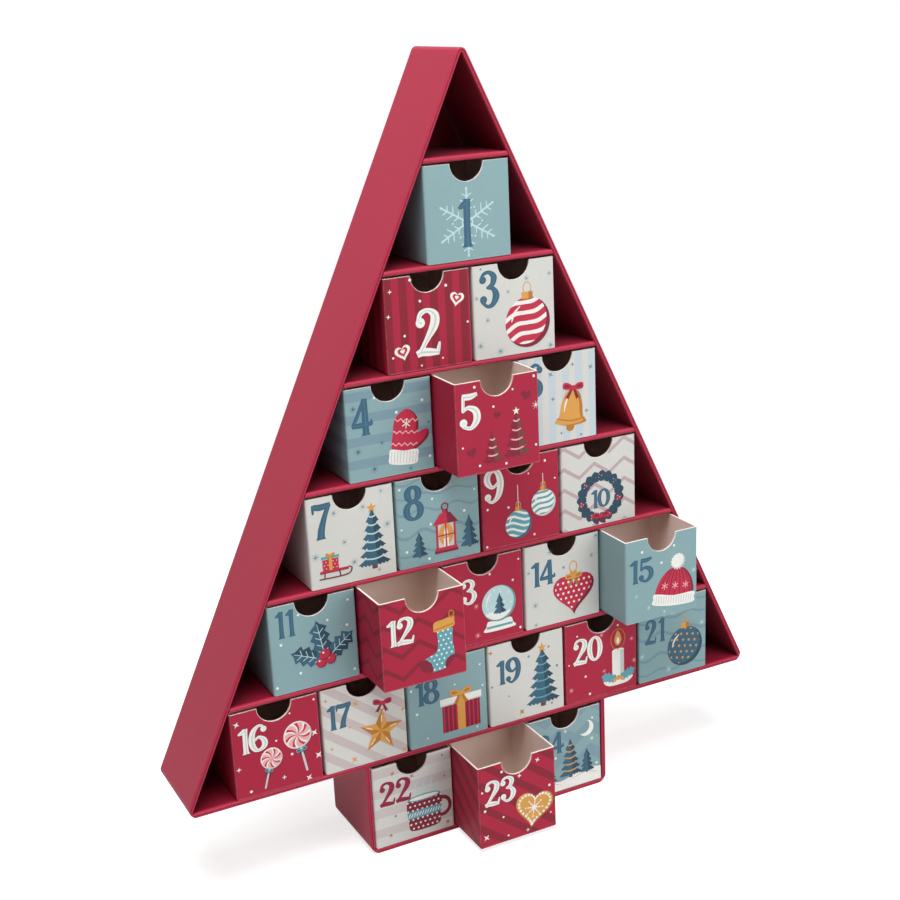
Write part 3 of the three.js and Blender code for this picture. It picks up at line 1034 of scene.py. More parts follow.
def bauble(radius, name="red", dark="wine", stripes="snow", dots=None, tilt=0.0):
    """Round bauble with wavy stripes or rows of dots, its cap and the loop that it hangs by."""
    body = oval(0, 0, radius, sides=48)
    layers = [ink("gold", ring(0, radius * 1.36, radius * 0.17, 0.5, 1.3)),
              ink(name, body)]
    if stripes:
        waves = []
        for k in range(-2, 3):
            level = k * radius * 0.42
            waves += pen([(-radius * 1.1, level - 0.1 * radius, 0.15 * radius),
                          (-radius * 0.5, level + 0.08 * radius, 0.17 * radius),
                          (0, level - 0.02 * radius, 0.15 * radius),
                          (radius * 0.5, level - 0.1 * radius, 0.17 * radius),
                          (radius * 1.1, level + 0.08 * radius, 0.15 * radius)])
        layers.append(ink(stripes, place(waves, turn=tilt), within=body))
    if dots:
        found = spots(range(-4, 5), range(-3, 4), (radius * 0.34, radius * 0.3), radius * 0.065)
        layers.append(ink(dots, place(found, turn=tilt), within=oval(0, 0, radius * 0.93)))
    layers += [
        ink(dark, body, cuts=oval(-radius * 0.13, radius * 0.12, radius * 0.98, sides=48)),
        ink("snow", pen([(-radius * 0.72, radius * 0.1, 0.04 * radius),
                         (-radius * 0.6, radius * 0.42, 0.1 * radius),
                         (-radius * 0.34, radius * 0.66, 0.04 * radius)])),
        ink("gold", box(-radius * 0.24, radius * 0.93, radius * 0.24, radius * 1.2)),
        ink("amber", box(radius * 0.06, radius * 0.93, radius * 0.24, radius * 1.2)),
    ]
    return layers


def gift(width, height, name, lid, dots=None):
    """Wrapped present, standing on (0, 0)."""
    half = width / 2
    body = box(-half, 0, half, height)
    cover = box(-half * 1.1, height * 0.82, half * 1.1, height * 1.05)
    layers = [ink(name, body)]
    if dots:
        layers.append(ink(dots, spots(
            range(int(width / 2.2) + 1), range(int(height / 2.2)), (2.3, 2.1), 0.45, (-half, 1.3)
        ), within=body))
    else:
        layers.append(ink("red", [s for k in range(9) for s in box(
            -half + (2 * k + 0.5) * width / 18, 0, -half + (2 * k + 1.2) * width / 18, height)],
            within=body))
    band = width * 0.1
    layers += [
        ink("gold", box(-band, 0, band, height)),
        ink(lid, cover),
        ink("shade", box(-half * 1.1, height * 0.82, half * 1.1, height * 0.86)),
        ink("gold", box(-band * 1.05, height * 0.82, band * 1.05, height * 1.05)),
        *moved(bow(width * 0.27, "gold", "amber"), y=height * 1.1),
    ]
    return layers


def mitten(size):
    """Knitted mitten, its cuff's lower edge at (0, 0)."""
    hand = blob([(-4.4, 5), (-5.2, 11), (-4.6, 17.5), (0, 21), (4.6, 17.2), (5.0, 11), (4.3, 5)])
    thumb = blob([(3.4, 5.5), (6.4, 7.0), (9.4, 10.4), (9.0, 13.2), (6.2, 12.6), (3.6, 10.0)])
    rows = []
    for k in range(3):
        level = 7.6 + 4.6 * k
        teeth = [(-6 + 1.2 * i, level + (0.5 if i % 2 else -0.5)) for i in range(11)]
        for a, b in zip(teeth, teeth[1:]):
            rows += line(*a, *b, 0.42)
    layers = [
        ink("red", hand + thumb),
        ink("wine", hand + thumb, cuts=place(hand, x=-1.1, y=0.5) + place(thumb, x=-0.7, y=0.7)),
        ink("blush", rows, within=hand),
        ink("snow", place(rays(6, 0.2, 1.7, 0.36), y=15.4)),
        ink("snow", blob([(-5.4, 0.4), (0, -0.2), (5.4, 0.4), (5.9, 3), (5.4, 5.7), (0, 5.2),
                          (-5.4, 5.7), (-5.9, 3)])),
        ink("shade", ribs(4, 1.25, 0.7, 4.9, 0.34)),
    ]
    return moved(layers, size=size)


def stocking(size):
    """Dotted stocking with a turned-over cuff, its toe to the left."""
    body = blob([(-1.0, 20), (5.6, 21.4), (6.0, 12), (6.6, 5.2), (3.0, 0.6), (-4.0, -0.4),
                 (-9.4, 1.2), (-10.4, 4.6), (-7.2, 6.8), (-2.4, 8.6), (-1.2, 13)], steps=5)
    return moved([
        ink("teal", body),
        ink("snow", spots(range(9), range(9), (2.5, 2.2), 0.5, (-11, 0.6)), within=body),
        ink("wine", body, within=oval(-9.6, 1.2, 5.4) + oval(6.0, 1.6, 4.2)),
        ink("gold", blob([(-2.6, 18.4), (2.4, 18.6), (7.0, 19.6), (7.2, 22.0), (6.8, 24.2),
                          (2.0, 23.6), (-2.6, 22.8), (-3.2, 20.6)])),
        ink("amber", line(-2.4, 19.4, 6.6, 20.5, 0.6) + ring(5.9, 25.4, 1.2, 0.6, 1.3)),
    ], size=size)


def bell(size):
    """Bell with a bow, its mouth near (0, 0)."""
    skirt = blob([(-7.4, 0), (-5.6, 2.4), (-4.9, 7.4), (-3.2, 12.0), (0, 13.6), (3.2, 12.0),
                  (4.9, 7.4), (5.6, 2.4), (7.4, 0), (3.6, -1.2), (0, -1.5), (-3.6, -1.2)])
    return moved([
        ink("amber", oval(0, -2.0, 1.9)),
        ink("gold", skirt),
        ink("amber", skirt, cuts=place(skirt, x=-1.5, y=0.4)),
        ink("amber", pen([(-6.4, 1.5, 0.5), (0, 0.5, 0.6), (6.4, 1.5, 0.5)])),
        ink("snow", pen([(-3.4, 4.4, 0.3), (-2.9, 8.0, 0.8), (-1.7, 10.8, 0.3)])),
        *moved(bow(4.6), y=13.8),
    ], size=size)


def lantern(size):
    """Red lantern with a lit candle behind its panes, standing on (0, 0)."""
    glass = box(-5.4, 3.0, 5.4, 16.6)
    bars = box(-5.9, 2.6, -4.7, 17) + box(4.7, 2.6, 5.9, 17) + box(-0.45, 2.6, 0.45, 17)
    return moved([
        ink("wine", ring(0, 26.0, 1.9, 0.7)),
        ink("shade", glass),
        ink("gold", oval(0, 10.2, 4.4, 6.2), within=glass),
        ink("snow", blob([(0, 14.6), (1.3, 10.6), (0, 8.4), (-1.3, 10.6)])),
        ink("snow", box(-1.5, 3.0, 1.5, 8.2)),
        ink("red", bars + line(-5.4, 9.9, 5.4, 9.9, 0.8)),
        ink("red", polygon((-7.6, 16.4), (7.6, 16.4), (3.0, 22.4), (-3.0, 22.4))
            + box(-1.7, 22.0, 1.7, 24.2)),
        ink("wine", polygon((1.2, 16.4), (7.6, 16.4), (3.0, 22.4), (0.8, 22.4))
            + box(0.2, 22.4, 1.7, 24.2)),
        ink("wine", box(-7.0, 0, 7.0, 1.6)),
        ink("red", box(-6.4, 1.4, 6.4, 3.2)),
    ], size=size)


def holly_leaf(length, width):
    """Prickly leaf from (0, 0) along +Y."""
    right = []
    for k in range(4):
        t = 0.08 + 0.22 * k
        reach = width / 2 * (1.18 - 0.5 * abs(t - 0.45))
        right += [(reach * 0.62, (t - 0.045) * length), (reach, (t + 0.045) * length)]
    right += [(width * 0.14, 0.9 * length)]
    left = [(-x, y) for x, y in right][::-1]
    return polygon((0, 0), *right, (0, length), *left)


def holly(size):
    """Three prickly leaves and three berries."""
    layers = []
    for turn, length in ((62, 15.5), (-58, 15.5), (4, 17.5)):
        leaf = place(holly_leaf(length, 7.4), turn=turn)
        vein = [s for k in range(1, 5) for s in both(
            line(0, 0.17 * k * length, 2.0, 0.17 * k * length + 1.5, 0.3))]
        layers += [
            ink("navy", leaf),
            ink("deep", leaf, within=place(box(0, 0, 8, length), turn=turn)),
            ink("mist", place(line(0, 0.6, 0, length * 0.9, 0.5, 0.2) + vein, turn=turn),
                within=leaf),
        ]
    for x, y in ((-1.9, -0.6), (2.1, -0.3), (0.2, 2.4)):
        layers += [ink("red", oval(x, y, 2.25)),
                   ink("wine", oval(x, y, 2.25), cuts=oval(x - 0.4, y + 0.4, 2.2)),
                   ink("snow", oval(x - 0.8, y + 0.9, 0.42, sides=10))]
    return moved(layers, size=size)


def snow_globe(size):
    """Glass globe with a fir in the snow, on a turned foot that stands on (0, 0)."""
    glass = oval(0, 14.2, 9.6, sides=48)
    snow = [s for x, y in ((-5, 17), (5.4, 19), (-2.4, 21.6), (3.0, 14.4), (-6.4, 12.4),
                           (6.8, 13.4), (1.2, 20.0)) for s in oval(x, y, 0.42, sides=10)]
    return moved([
        ink("mist", glass),
        ink("snow", blob([(-10, 3), (-9.6, 8.6), (-4, 10.2), (2, 8.8), (9.6, 9.6), (10, 3)]),
            within=glass),
        *moved(fir(11.5, 7.6, 3), x=0.4, y=8.4),
        ink("snow", snow),
        ink("teal", glass, cuts=oval(-0.5, 14.6, 9.1, sides=48)),
        ink("snow", pen([(-7.2, 13.4, 0.3), (-6.4, 17.4, 1.0), (-4.0, 20.6, 0.3)])),
        ink("snow", blob([(-8.2, 0), (8.2, 0), (7.6, 2.6), (6.2, 5.4), (0, 4.6), (-6.2, 5.4),
                          (-7.6, 2.6)])),
        ink("teal", box(-7.4, 1.5, 7.4, 2.7)),
    ], size=size)


def heart_ornament(size):
    """Dotted heart with a bow and a loop."""
    body = heart(9.6)
    return moved([
        ink("gold", ring(0, 10.0, 1.6, 0.45, 1.35) + box(-1.5, 5.0, 1.5, 8.2)),
        ink("red", body),
        ink("snow", spots(range(-5, 6), range(-5, 5), (2.3, 2.1), 0.5),
            within=place(body, size=0.9)),
        ink("wine", body, cuts=place(body, x=-1.0, y=0.8)),
        *moved(bow(3.4, "gold", "amber"), y=5.6),
    ], size=size)


def bobble_hat(size):
    """Knitted hat with a brim and a bobble, its lower edge at (0, 0)."""
    dome = blob([(-9.4, 4), (-8.6, 10.6), (-4.6, 15.6), (0, 16.9), (4.6, 15.6), (8.6, 10.6),
                 (9.4, 4), (0, 3.2)])
    folds = [s for k in range(-3, 4) for s in pen(
        [(k * 2.7, 4, 0.4), (k * 2.3, 10, 0.4), (k * 1.2, 16, 0.4)])]
    flakes = [s for x in (-5.4, 0, 5.4) for s in place(rays(6, 0.3, 1.5, 0.38), x, 8.6)]
    return moved([
        ink("red", dome),
        ink("wine", dome, cuts=place(dome, x=-1.3, y=0.4)),
        ink("wine", folds, within=dome),
        ink("blush", flakes),
        ink("snow", star(0, 19.4, 3.9, 3.1, 16)),
        ink("shade", star(0, 19.4, 3.9, 3.1, 16), cuts=oval(-0.7, 20.0, 3.4)),
        ink("snow", blob([(-10.2, 0.4), (0, -0.5), (10.2, 0.4), (10.6, 2.8), (10.0, 5.2),
                          (0, 4.2), (-10.0, 5.2), (-10.6, 2.8)])),
        ink("shade", ribs(7, 1.3, 0.8, 4.0, 0.32)),
    ], size=size)


def lollipop(size):
    """Peppermint disc of curved wedges on a stick, its middle at (0, 0)."""
    out = curve([(0, 0), (1.4, 3.4), (0.4, 7.2)], False, 5)
    back = curve([(3.2, 6.45), (3.4, 3.2), (0.2, 0)], False, 5)
    wedges = around(polygon(*out, *back), 7)
    sweet = oval(0, 0, 7.0, sides=40)
    return moved([
        ink("shade", line(0, -6.5, 0, -19.5, 1.1)),
        ink("snow", sweet),
        ink("blush", wedges, within=oval(0, 0, 6.4)),
        ink("red", place(wedges, turn=10, size=0.98), within=oval(0, 0, 6.3),
            cuts=place(wedges, turn=-4)),
        ink("shade", sweet, cuts=oval(-0.5, 0.5, 6.8)),
        *moved(bow(2.6, "teal", "deep"), y=-8.6),
    ], size=size)


def gold_star(size):
    """Faceted star with a bow."""
    reach, waist = 11.0, 4.6
    body = star(0, 0, reach, waist, 5)
    valley = (-math.sin(math.pi / 5) * waist, math.cos(math.pi / 5) * waist)
    return moved([
        ink("gold", body),
        ink("amber", around(polygon((0, 0), (0, reach), valley), 5), within=body),
        ink("snow", rays(5, 4.6, 7.6, 0.4)),
        ink("amber", ring(0, 11.6, 1.2, 0.45, 1.2)),
        *moved(bow(4.4), y=13.4),
    ], size=size)


def candle(size):
    """Lit candle on a dish, with a leaf on either side, standing on (0, 0)."""
    leaf = place(holly_leaf(8.4, 4.4), turn=-68)
    return moved([
        ink("amber", oval(0, 22.6, 4.0, 5.2), cuts=oval(0, 22.6, 3.6, 4.8)),
        ink("snow", box(-3.2, 2.4, 3.2, 17.0) + oval(0, 17.0, 3.2, 0.9)),
        ink("shade", box(1.2, 2.4, 3.2, 16.8)),
        ink("snow", pen([(-2.2, 16.4, 1.0), (-2.3, 12.8, 1.3)])),
        ink("gold", blob([(0, 26.8), (1.9, 22.2), (0, 19.2), (-1.9, 22.2)])),
        ink("snow", blob([(0, 23.6), (0.8, 21.6), (0, 20.2), (-0.8, 21.6)])),
        ink("wine", line(0, 17.4, 0, 19.6, 0.4)),
        ink("snow", blob([(-7.8, 2.8), (0, 3.6), (7.8, 2.8), (5.4, 0.2), (0, -0.3),
                          (-5.4, 0.2)])),
        ink("teal", both(place(leaf, x=1.4, y=2.8))),
        ink("gold", oval(0, 3.2, 1.2) + oval(-2.0, 2.4, 1.0) + oval(2.0, 2.4, 1.0)),
    ], size=size)


def mug(size):
    """Dotted mug of something hot, standing on (0, 0)."""
    body = blob([(-8.0, 15.4), (-7.8, 4), (-6.6, 0.4), (0, -0.2), (6.6, 0.4), (7.8, 4),
                 (8.0, 15.4), (0, 15.8)], steps=5)
    steam = [s for x in (-3.4, 0.4, 4.2) for s in pen(
        [(x, 17.6, 0.4), (x + 0.9, 19.6, 0.8), (x - 0.5, 21.6, 0.8), (x + 0.5, 24.0, 0.3)])]
    return moved([
        ink("wine", ring(8.6, 8.4, 3.9, 1.7, 1.1)),
        ink("wine", body),
        ink("snow", spots(range(8), range(7), (2.3, 2.2), 0.48, (-8, 1.3)), within=body),
        ink("teal", box(-9, 6.2, 9, 9.8), within=body),
        ink("snow", ribs(6, 1.3, 7.2, 8.8, 0.4, slant=0.8), within=body),
        ink("teal", oval(0, 15.6, 8.0, 1.5)),
        ink("snow", oval(0, 15.6, 7.0, 0.95)),
        ink("mist", steam),
    ], size=size)


def biscuit(size):
    """Iced heart biscuit."""
    body = heart(11.0)
    scallops = [s for x, y in body[0] for s in oval(x * 0.83, y * 0.83 + 0.2, 0.72, sides=10)]
    return moved([
        ink("amber", body),
        ink("gold", place(body, x=-0.3, y=0.4, size=0.94)),
        ink("snow", scallops, cuts=place(body, y=0.2, size=0.76)),
        ink("snow", place(rays(8, 0.8, 3.6, 0.7, 0.4), y=-0.2)
            + place(around(oval(0, 4.6, 0.42, sides=10), 8), y=-0.2) + oval(0, -0.2, 0.6)),
    ], size=size)


def sledge(size):
    """Sledge with a parcel on it, its runners on (0, 0)."""
    return moved([
        ink("bark", pen([(-10, 1.0, 0.9), (4, 0.7, 0.9), (9.4, 1.6, 0.9), (11, 4.4, 0.9),
                         (9.2, 5.8, 0.7)])),
        ink("bark", line(-7, 1, -6.4, 4.6, 0.8) + line(3.4, 1, 3.0, 4.6, 0.8)),
        ink("red", box(-9.6, 4.2, 9.0, 5.9)),
        ink("wine", box(-9.6, 4.2, 9.0, 4.8)),
        *moved(gift(10.4, 8.6, "red", "teal", dots="blush"), x=-2.6, y=5.9),
    ], size=size)


def hills_and_moon():
    """Firs on snowy hills under a thin moon."""
    glow = oval(41.4, 38.4, 5.4, sides=36)
    land = blob([(-4, -6), (-4, 7), (8, 10.4), (22, 6.4), (38, 10.6), (56, 7), (56, -6)])
    return [
        ink("snow", glow, cuts=oval(38.9, 40.0, 5.0, sides=36)),
        ink("snow", land),
        ink("shade", pen([(2, 5.6, 0.3), (12, 8.0, 0.8), (22, 4.0, 0.3)])
            + pen([(30, 6.0, 0.3), (40, 8.2, 0.8), (50, 5.4, 0.3)])),
        *moved(fir(27, 17, 5, bands="gold"), x=29.5, y=7.4),
        *moved(fir(17, 11, 4), x=41.5, y=7.6),
        *moved(fir(11, 8, 3), x=15.5, y=7.2),
    ]


def berries(radius, groups):
    """Groups of red berries on a ring round (0, 0)."""
    dots, lights = [], []
    for angle in angles(groups):
        for dx, dy in ((0, 0), (1.7, 0.9), (0.2, 1.9)):
            x, y = radius * math.sin(angle) + dx - 0.7, radius * math.cos(angle) + dy - 0.9
            dots += oval(x, y, 0.95, sides=14)
            lights += oval(x - 0.3, y + 0.3, 0.25, sides=8)
    return [ink("red", dots), ink("snow", lights)]


def small_hearts(name, places):
    """Hearts of one ink, each at x, y, of a size and turned."""
    return [ink(name, [s for x, y, r, t in places for s in place(heart(r), x, y, t)])]


def pictures():
    """The pictures of all drawers, by number."""
    return {
        1: moved(snowflake(18.0, 1.0, "mist"), x=25.4, y=20.6),
        2: [
            *small_hearts("snow", ((9.4, 11.6, 5.0, 12), (43.6, 36.8, 4.6, -14))),
            *small_hearts("red", ((9.4, 11.8, 3.2, 12), (43.6, 37.0, 2.9, -14))),
            *small_hearts("snow", ((9.4, 12.0, 1.5, 12), (43.6, 37.2, 1.3, -14))),
        ],
        3: moved(bauble(14.4, tilt=14), x=34.2, y=17.4),
        4: moved(mitten(1.5), x=32.6, y=5.4, turn=-8),
        5: [
            *small_hearts("wine", ((44.0, 40.0, 3.4, -10), (9.0, 13.0, 3.2, 16),
                                   (25.4, 31.6, 2.4, -6))),
            *moved(fir(27, 17, 4, "wine", "bark", bands="blush", crown="snow"), x=37.4, y=5.0),
            *moved(fir(18, 12, 3, "wine", "bark", bands="blush"), x=22.0, y=5.0),
        ],
        6: moved(bell(1.45), x=34.0, y=11.0, turn=-6),
        7: [
            *moved(fir(36, 20, 6, bands="mist", crown="gold"), x=38.6, y=5.0),
            *moved(sledge(0.92), x=14.6, y=4.6),
        ],
        8: [
            *moved(fir(16, 10.5, 4), x=13.0, y=5.0),
            *moved(fir(20, 12.4, 4), x=45.0, y=5.0),
            *moved(lantern(1.06), x=30.0, y=5.0),
        ],
        9: [
            ink("snow", line(24, 17, 24, 36, 0.4) + line(41, 25, 41, 40, 0.4)),
            *moved(bauble(8.8, "teal", "navy", tilt=-10), x=24.0, y=12.0),
            *moved(bauble(8.2, "snow", "shade", "teal", tilt=14), x=41.0, y=22.0),
        ],
        10: moved(berries(13.2, 7) + moved(bow(5.2), y=-12.4), x=WREATH_MIDDLE[0],
                  y=WREATH_MIDDLE[1]),
        11: moved(holly(1.42), x=32.0, y=14.6, turn=6),
        12: moved(stocking(1.26), x=36.0, y=5.4),
        13: moved(snow_globe(1.18), x=35.6, y=5.6),
        14: moved(heart_ornament(1.6), x=33.6, y=18.0),
        15: moved(bobble_hat(1.42), x=34.0, y=6.0, turn=-8),
        16: [
            *moved(lollipop(1.2), x=38.4, y=30.2, turn=10),
            *moved(lollipop(0.92), x=22.0, y=20.4, turn=-16),
        ],
        17: moved(gold_star(1.28), x=35.6, y=18.4, turn=-6),
        18: moved(gift(25, 21, "wine", "snow"), x=34.4, y=5.0),
        19: moved(fir(39, 24, 6, bands="teal", crown="gold"), x=37.0, y=4.4),
        20: moved(candle(1.36), x=38.0, y=4.6),
        21: moved(bauble(13.4, "navy", "deep", None, dots="gold", tilt=-12), x=35.2, y=18.0),
        22: moved(mug(1.36), x=32.6, y=4.2),
        23: moved(biscuit(1.26), x=36.8, y=17.0, turn=-10),
        24: hills_and_moon(),
    }


# From flat shapes to printed pieces, and the glue


def flat_piece(name, number, layers, first_level, inks):
    """One closed mesh for a drawer's front: each layer a thin slab of ink over the one before."""
    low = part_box(f"drawer_{number:02d}")[0]
    front = front_outline()
    vertices, faces, slots, used = [], [], [], []
    for level, layer in enumerate(layers):
        corners, triangles = region(layer.adds, [front, *layer.masks], layer.cuts)
        if not triangles:
            continue
        if layer.ink not in used:
            used.append(layer.ink)
        step = INK_STEP * (first_level + level)
        start, count = len(vertices), len(corners)
        for y in (low.y - (INK_FIRST + step) * MM, low.y + (INK_ROOT + step) * MM):
            vertices += [(low.x + u * MM, y, low.z + v * MM) for u, v in corners]
        edges = {}
        for a, b, c in triangles:
            faces += [(start + a, start + b, start + c),
                      (start + count + c, start + count + b, start + count + a)]
            edges |= dict.fromkeys(((a, b), (b, c), (c, a)))
        rim = [(a, b) for a, b in edges if (b, a) not in edges]
        faces += [(start + a, start + count + a, start + count + b, start + b) for a, b in rim]
        slots += [used.index(layer.ink)] * (2 * len(triangles) + len(rim))
    mesh = bpy.data.meshes.new(name)
    mesh.from_pydata(vertices, [], faces)
    mesh.polygons.foreach_set("material_index", slots)
    for key in used:
        mesh.materials.append(inks[key])
    clear_loose(mesh)
    return link(name, mesh)


def clear_loose(mesh):
    """Removes the corners that no face uses."""
    work = bmesh.new()
    work.from_mesh(mesh)
    bmesh.ops.delete(work, geom=[v for v in work.verts if not v.link_faces], context="VERTS")
    work.to_mesh(mesh)
    work.free()


def link(name, data):
    """An object of this name in the scene."""
    piece = bpy.data.objects.new(name, data)
    bpy.context.scene.collection.objects.link(piece)
    return piece


def set_material(piece, material):
    piece.data.materials.clear()
    piece.data.materials.append(material)


def ink_materials(context):
    """The material of every ink, made when it is first asked for."""
    settings = context.scene.calendar_inks
    return {
        name: bpy.data.materials.get(f"ink_{name}") or printing_ink(name, getattr(settings, name))
        for name in INKS
    }


def quiet_shapes(number, drawn):
    """Hulls round what is printed on a drawer, a little larger, where no speck may lie."""
    four_ways = (0.4, 1.97, 3.54, 5.11)
    found = []
    for shapes in (numeral_shapes(number), *(layer.adds for layer in drawn)):
        points = [p for shape in shapes for p in shape]
        found.append(hull([
            (x + QUIET_MARGIN * math.cos(a), y + QUIET_MARGIN * math.sin(a))
            for x, y in hull(points) for a in four_ways
        ]))
    return found


def seam_prisms(board, lean):
    """Corners and faces of the glue in the two mitred joints at a level board's ends."""
    inner = max((corner.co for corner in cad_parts[board].data.vertices),
                key=lambda co: (round(co.z / MM, 3), co.x))
    low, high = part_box(board)
    outward = (Vector((1.0, 0.0)) + Vector((lean, -1.0)).normalized()).normalized()
    across = Vector((-outward.y, outward.x)) * SEAM_WIDTH / 2
    start = Vector((inner.x, inner.z)) + outward * SEAM_WIDTH / 4
    end = start + outward * SEAM_DEPTH
    outline = [start - across, end - across, end + across, start + across]
    vertices, faces = [], []
    for side in (1, -1):
        first = len(vertices)
        for y in (low.y + SEAM_END, high.y - SEAM_END):
            vertices += [(side * point.x, y, point.y) for point in outline]
        rim = [(i, (i + 1) % 4, (i + 1) % 4 + 4, i + 4) for i in range(4)]
        for face in ((3, 2, 1, 0), (4, 5, 6, 7), *rim):
            faces.append([first + i for i in face[::-side]])
    return vertices, faces


def fill_seams(paper):
    """Glue in the mitred joints, which keeps light from shining through them."""
    vertices, faces = [], []
    for board, lean in (("tree_floor_board", SLOPE), ("trunk_floor", 0.0)):
        corners, sides = seam_prisms(board, lean)
        faces += [[len(vertices) + i for i in side] for side in sides]
        vertices += corners
    mesh = bpy.data.meshes.new("glue_seams")
    mesh.from_pydata(vertices, [], faces)
    piece = link("glue_seams", mesh)
    set_material(piece, paper)
    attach(piece, "frame")


# Geometry Nodes


class Tree(Nodes):
    """A Geometry Nodes tree with named inputs."""

    def __init__(self, name, inputs):
        super().__init__(bpy.data.node_groups.new(name, "GeometryNodeTree"))
        face = self.tree.interface
        face.new_socket("Geometry", in_out="INPUT", socket_type="NodeSocketGeometry")
        for label, kind, default in inputs:
            socket = face.new_socket(label, in_out="INPUT", socket_type=f"NodeSocket{kind}")
            if default is not None:
                socket.default_value = default
        face.new_socket("Geometry", in_out="OUTPUT", socket_type="NodeSocketGeometry")
        self.given = self.add("NodeGroupInput").outputs
        self.output = self.add("NodeGroupOutput")

    def vector(self, **parts):
        return self.made("ShaderNodeCombineXYZ", parts)

    def chance(self, odds):
        """True for a random share of the points."""
        return self.add("FunctionNodeRandomValue", {
            "Probability": odds, "Seed": self.given["Seed"],
        }, data_type="BOOLEAN").outputs[3]

    def between(self, low, high):
        """A random number for each point."""
        return self.add("FunctionNodeRandomValue", {
            2: low, 3: high, "Seed": self.given["Seed"],
        }, data_type="FLOAT").outputs[1]

    def join(self, *parts):
        node = self.add("GeometryNodeJoinGeometry")
        for part in parts:
            self.tree.links.new(part, node.inputs[0])
        return node.outputs[0]

    def finish(self, geometry, material, chosen=None):
        """Ends the tree: instances made real and their material set, another on chosen faces."""
        real = self.made("GeometryNodeRealizeInstances", {"Geometry": geometry})
        done = self.made("GeometryNodeSetMaterial", {"Geometry": real, "Material": material})
        if chosen:
            selection, other = chosen
            done = self.made("GeometryNodeSetMaterial", {
                "Geometry": done, "Selection": selection, "Material": other,
            })
        self.feed(self.output.inputs[0], done)
        return self.tree

    def slab(self, outline, depth):
        """A closed slab from a flat closed curve, its faces along Z."""
        face = self.made("GeometryNodeFillCurve", {"Curve": outline})
        top = self.made("GeometryNodeExtrudeMesh", {
            "Mesh": face, "Offset": self.vector(Z=depth), "Offset Scale": 1.0,
            "Individual": False,
        }, mode="FACES")
        base = self.made("GeometryNodeFlipFaces", {"Mesh": face})
        return self.made("GeometryNodeMergeByDistance",
                         {"Geometry": self.join(top, base), "Distance": 1e-7})

    def upright(self, geometry, **values):
        """What lies flat, turned to face the viewer."""
        return self.made("GeometryNodeTransform", {
            "Geometry": geometry, "Rotation": (math.pi / 2, 0.0, 0.0), **values,
        })


def snow_tree():
    """Scatters round flakes and thin-rayed stars over a flat area that faces the viewer."""
    tree = Tree("scattered_snow", [
        ("Spacing", "Float", 0.009), ("Flake radius", "Float", 0.0006),
        ("Star radius", "Float", 0.002), ("Thickness", "Float", 0.0001),
        ("Rays", "Int", 8), ("Star share", "Float", 0.3), ("Seed", "Int", 0),
        ("Flake ink", "Material", None), ("Star ink", "Material", None),
    ])
    given = tree.given
    points = tree.made("GeometryNodeDistributePointsOnFaces", {
        "Mesh": given["Geometry"], "Distance Min": given["Spacing"],
        "Density Max": SPECK_DENSITY, "Seed": given["Seed"],
    }, distribute_method="POISSON")
    flake = tree.made("GeometryNodeCurvePrimitiveCircle",
                      {"Resolution": 14, "Radius": given["Flake radius"]})
    waist = tree.math("MULTIPLY", given["Star radius"], STAR_WAIST)
    waist = tree.math("DIVIDE", waist, given["Rays"])
    pointed = tree.made("GeometryNodeCurveStar", {
        "Points": given["Rays"], "Inner Radius": waist, "Outer Radius": given["Star radius"],
    })
    is_star = tree.chance(given["Star share"])
    is_flake = tree.made("FunctionNodeBooleanMath", {0: is_star}, operation="NOT")
    size = tree.between(*SPECK_SIZES)
    spin = tree.vector(Y=tree.between(0.0, SPECK_TURN))
    marked = tree.add("GeometryNodeCaptureAttribute", domain="FACE")
    marked.capture_items.new("BOOLEAN", "Star")
    tree.feed(marked.inputs[0], tree.slab(pointed, given["Thickness"]))
    marked.inputs[1].default_value = True
    parts = [
        tree.made("GeometryNodeInstanceOnPoints", {
            "Points": points, "Selection": chosen, "Instance": tree.upright(slab),
            "Rotation": spin, "Scale": size,
        })
        for slab, chosen in ((tree.slab(flake, given["Thickness"]), is_flake),
                             (marked.outputs[0], is_star))
    ]
    on_star = marked.outputs[1]
    return tree.finish(tree.join(*parts), given["Flake ink"], (on_star, given["Star ink"]))


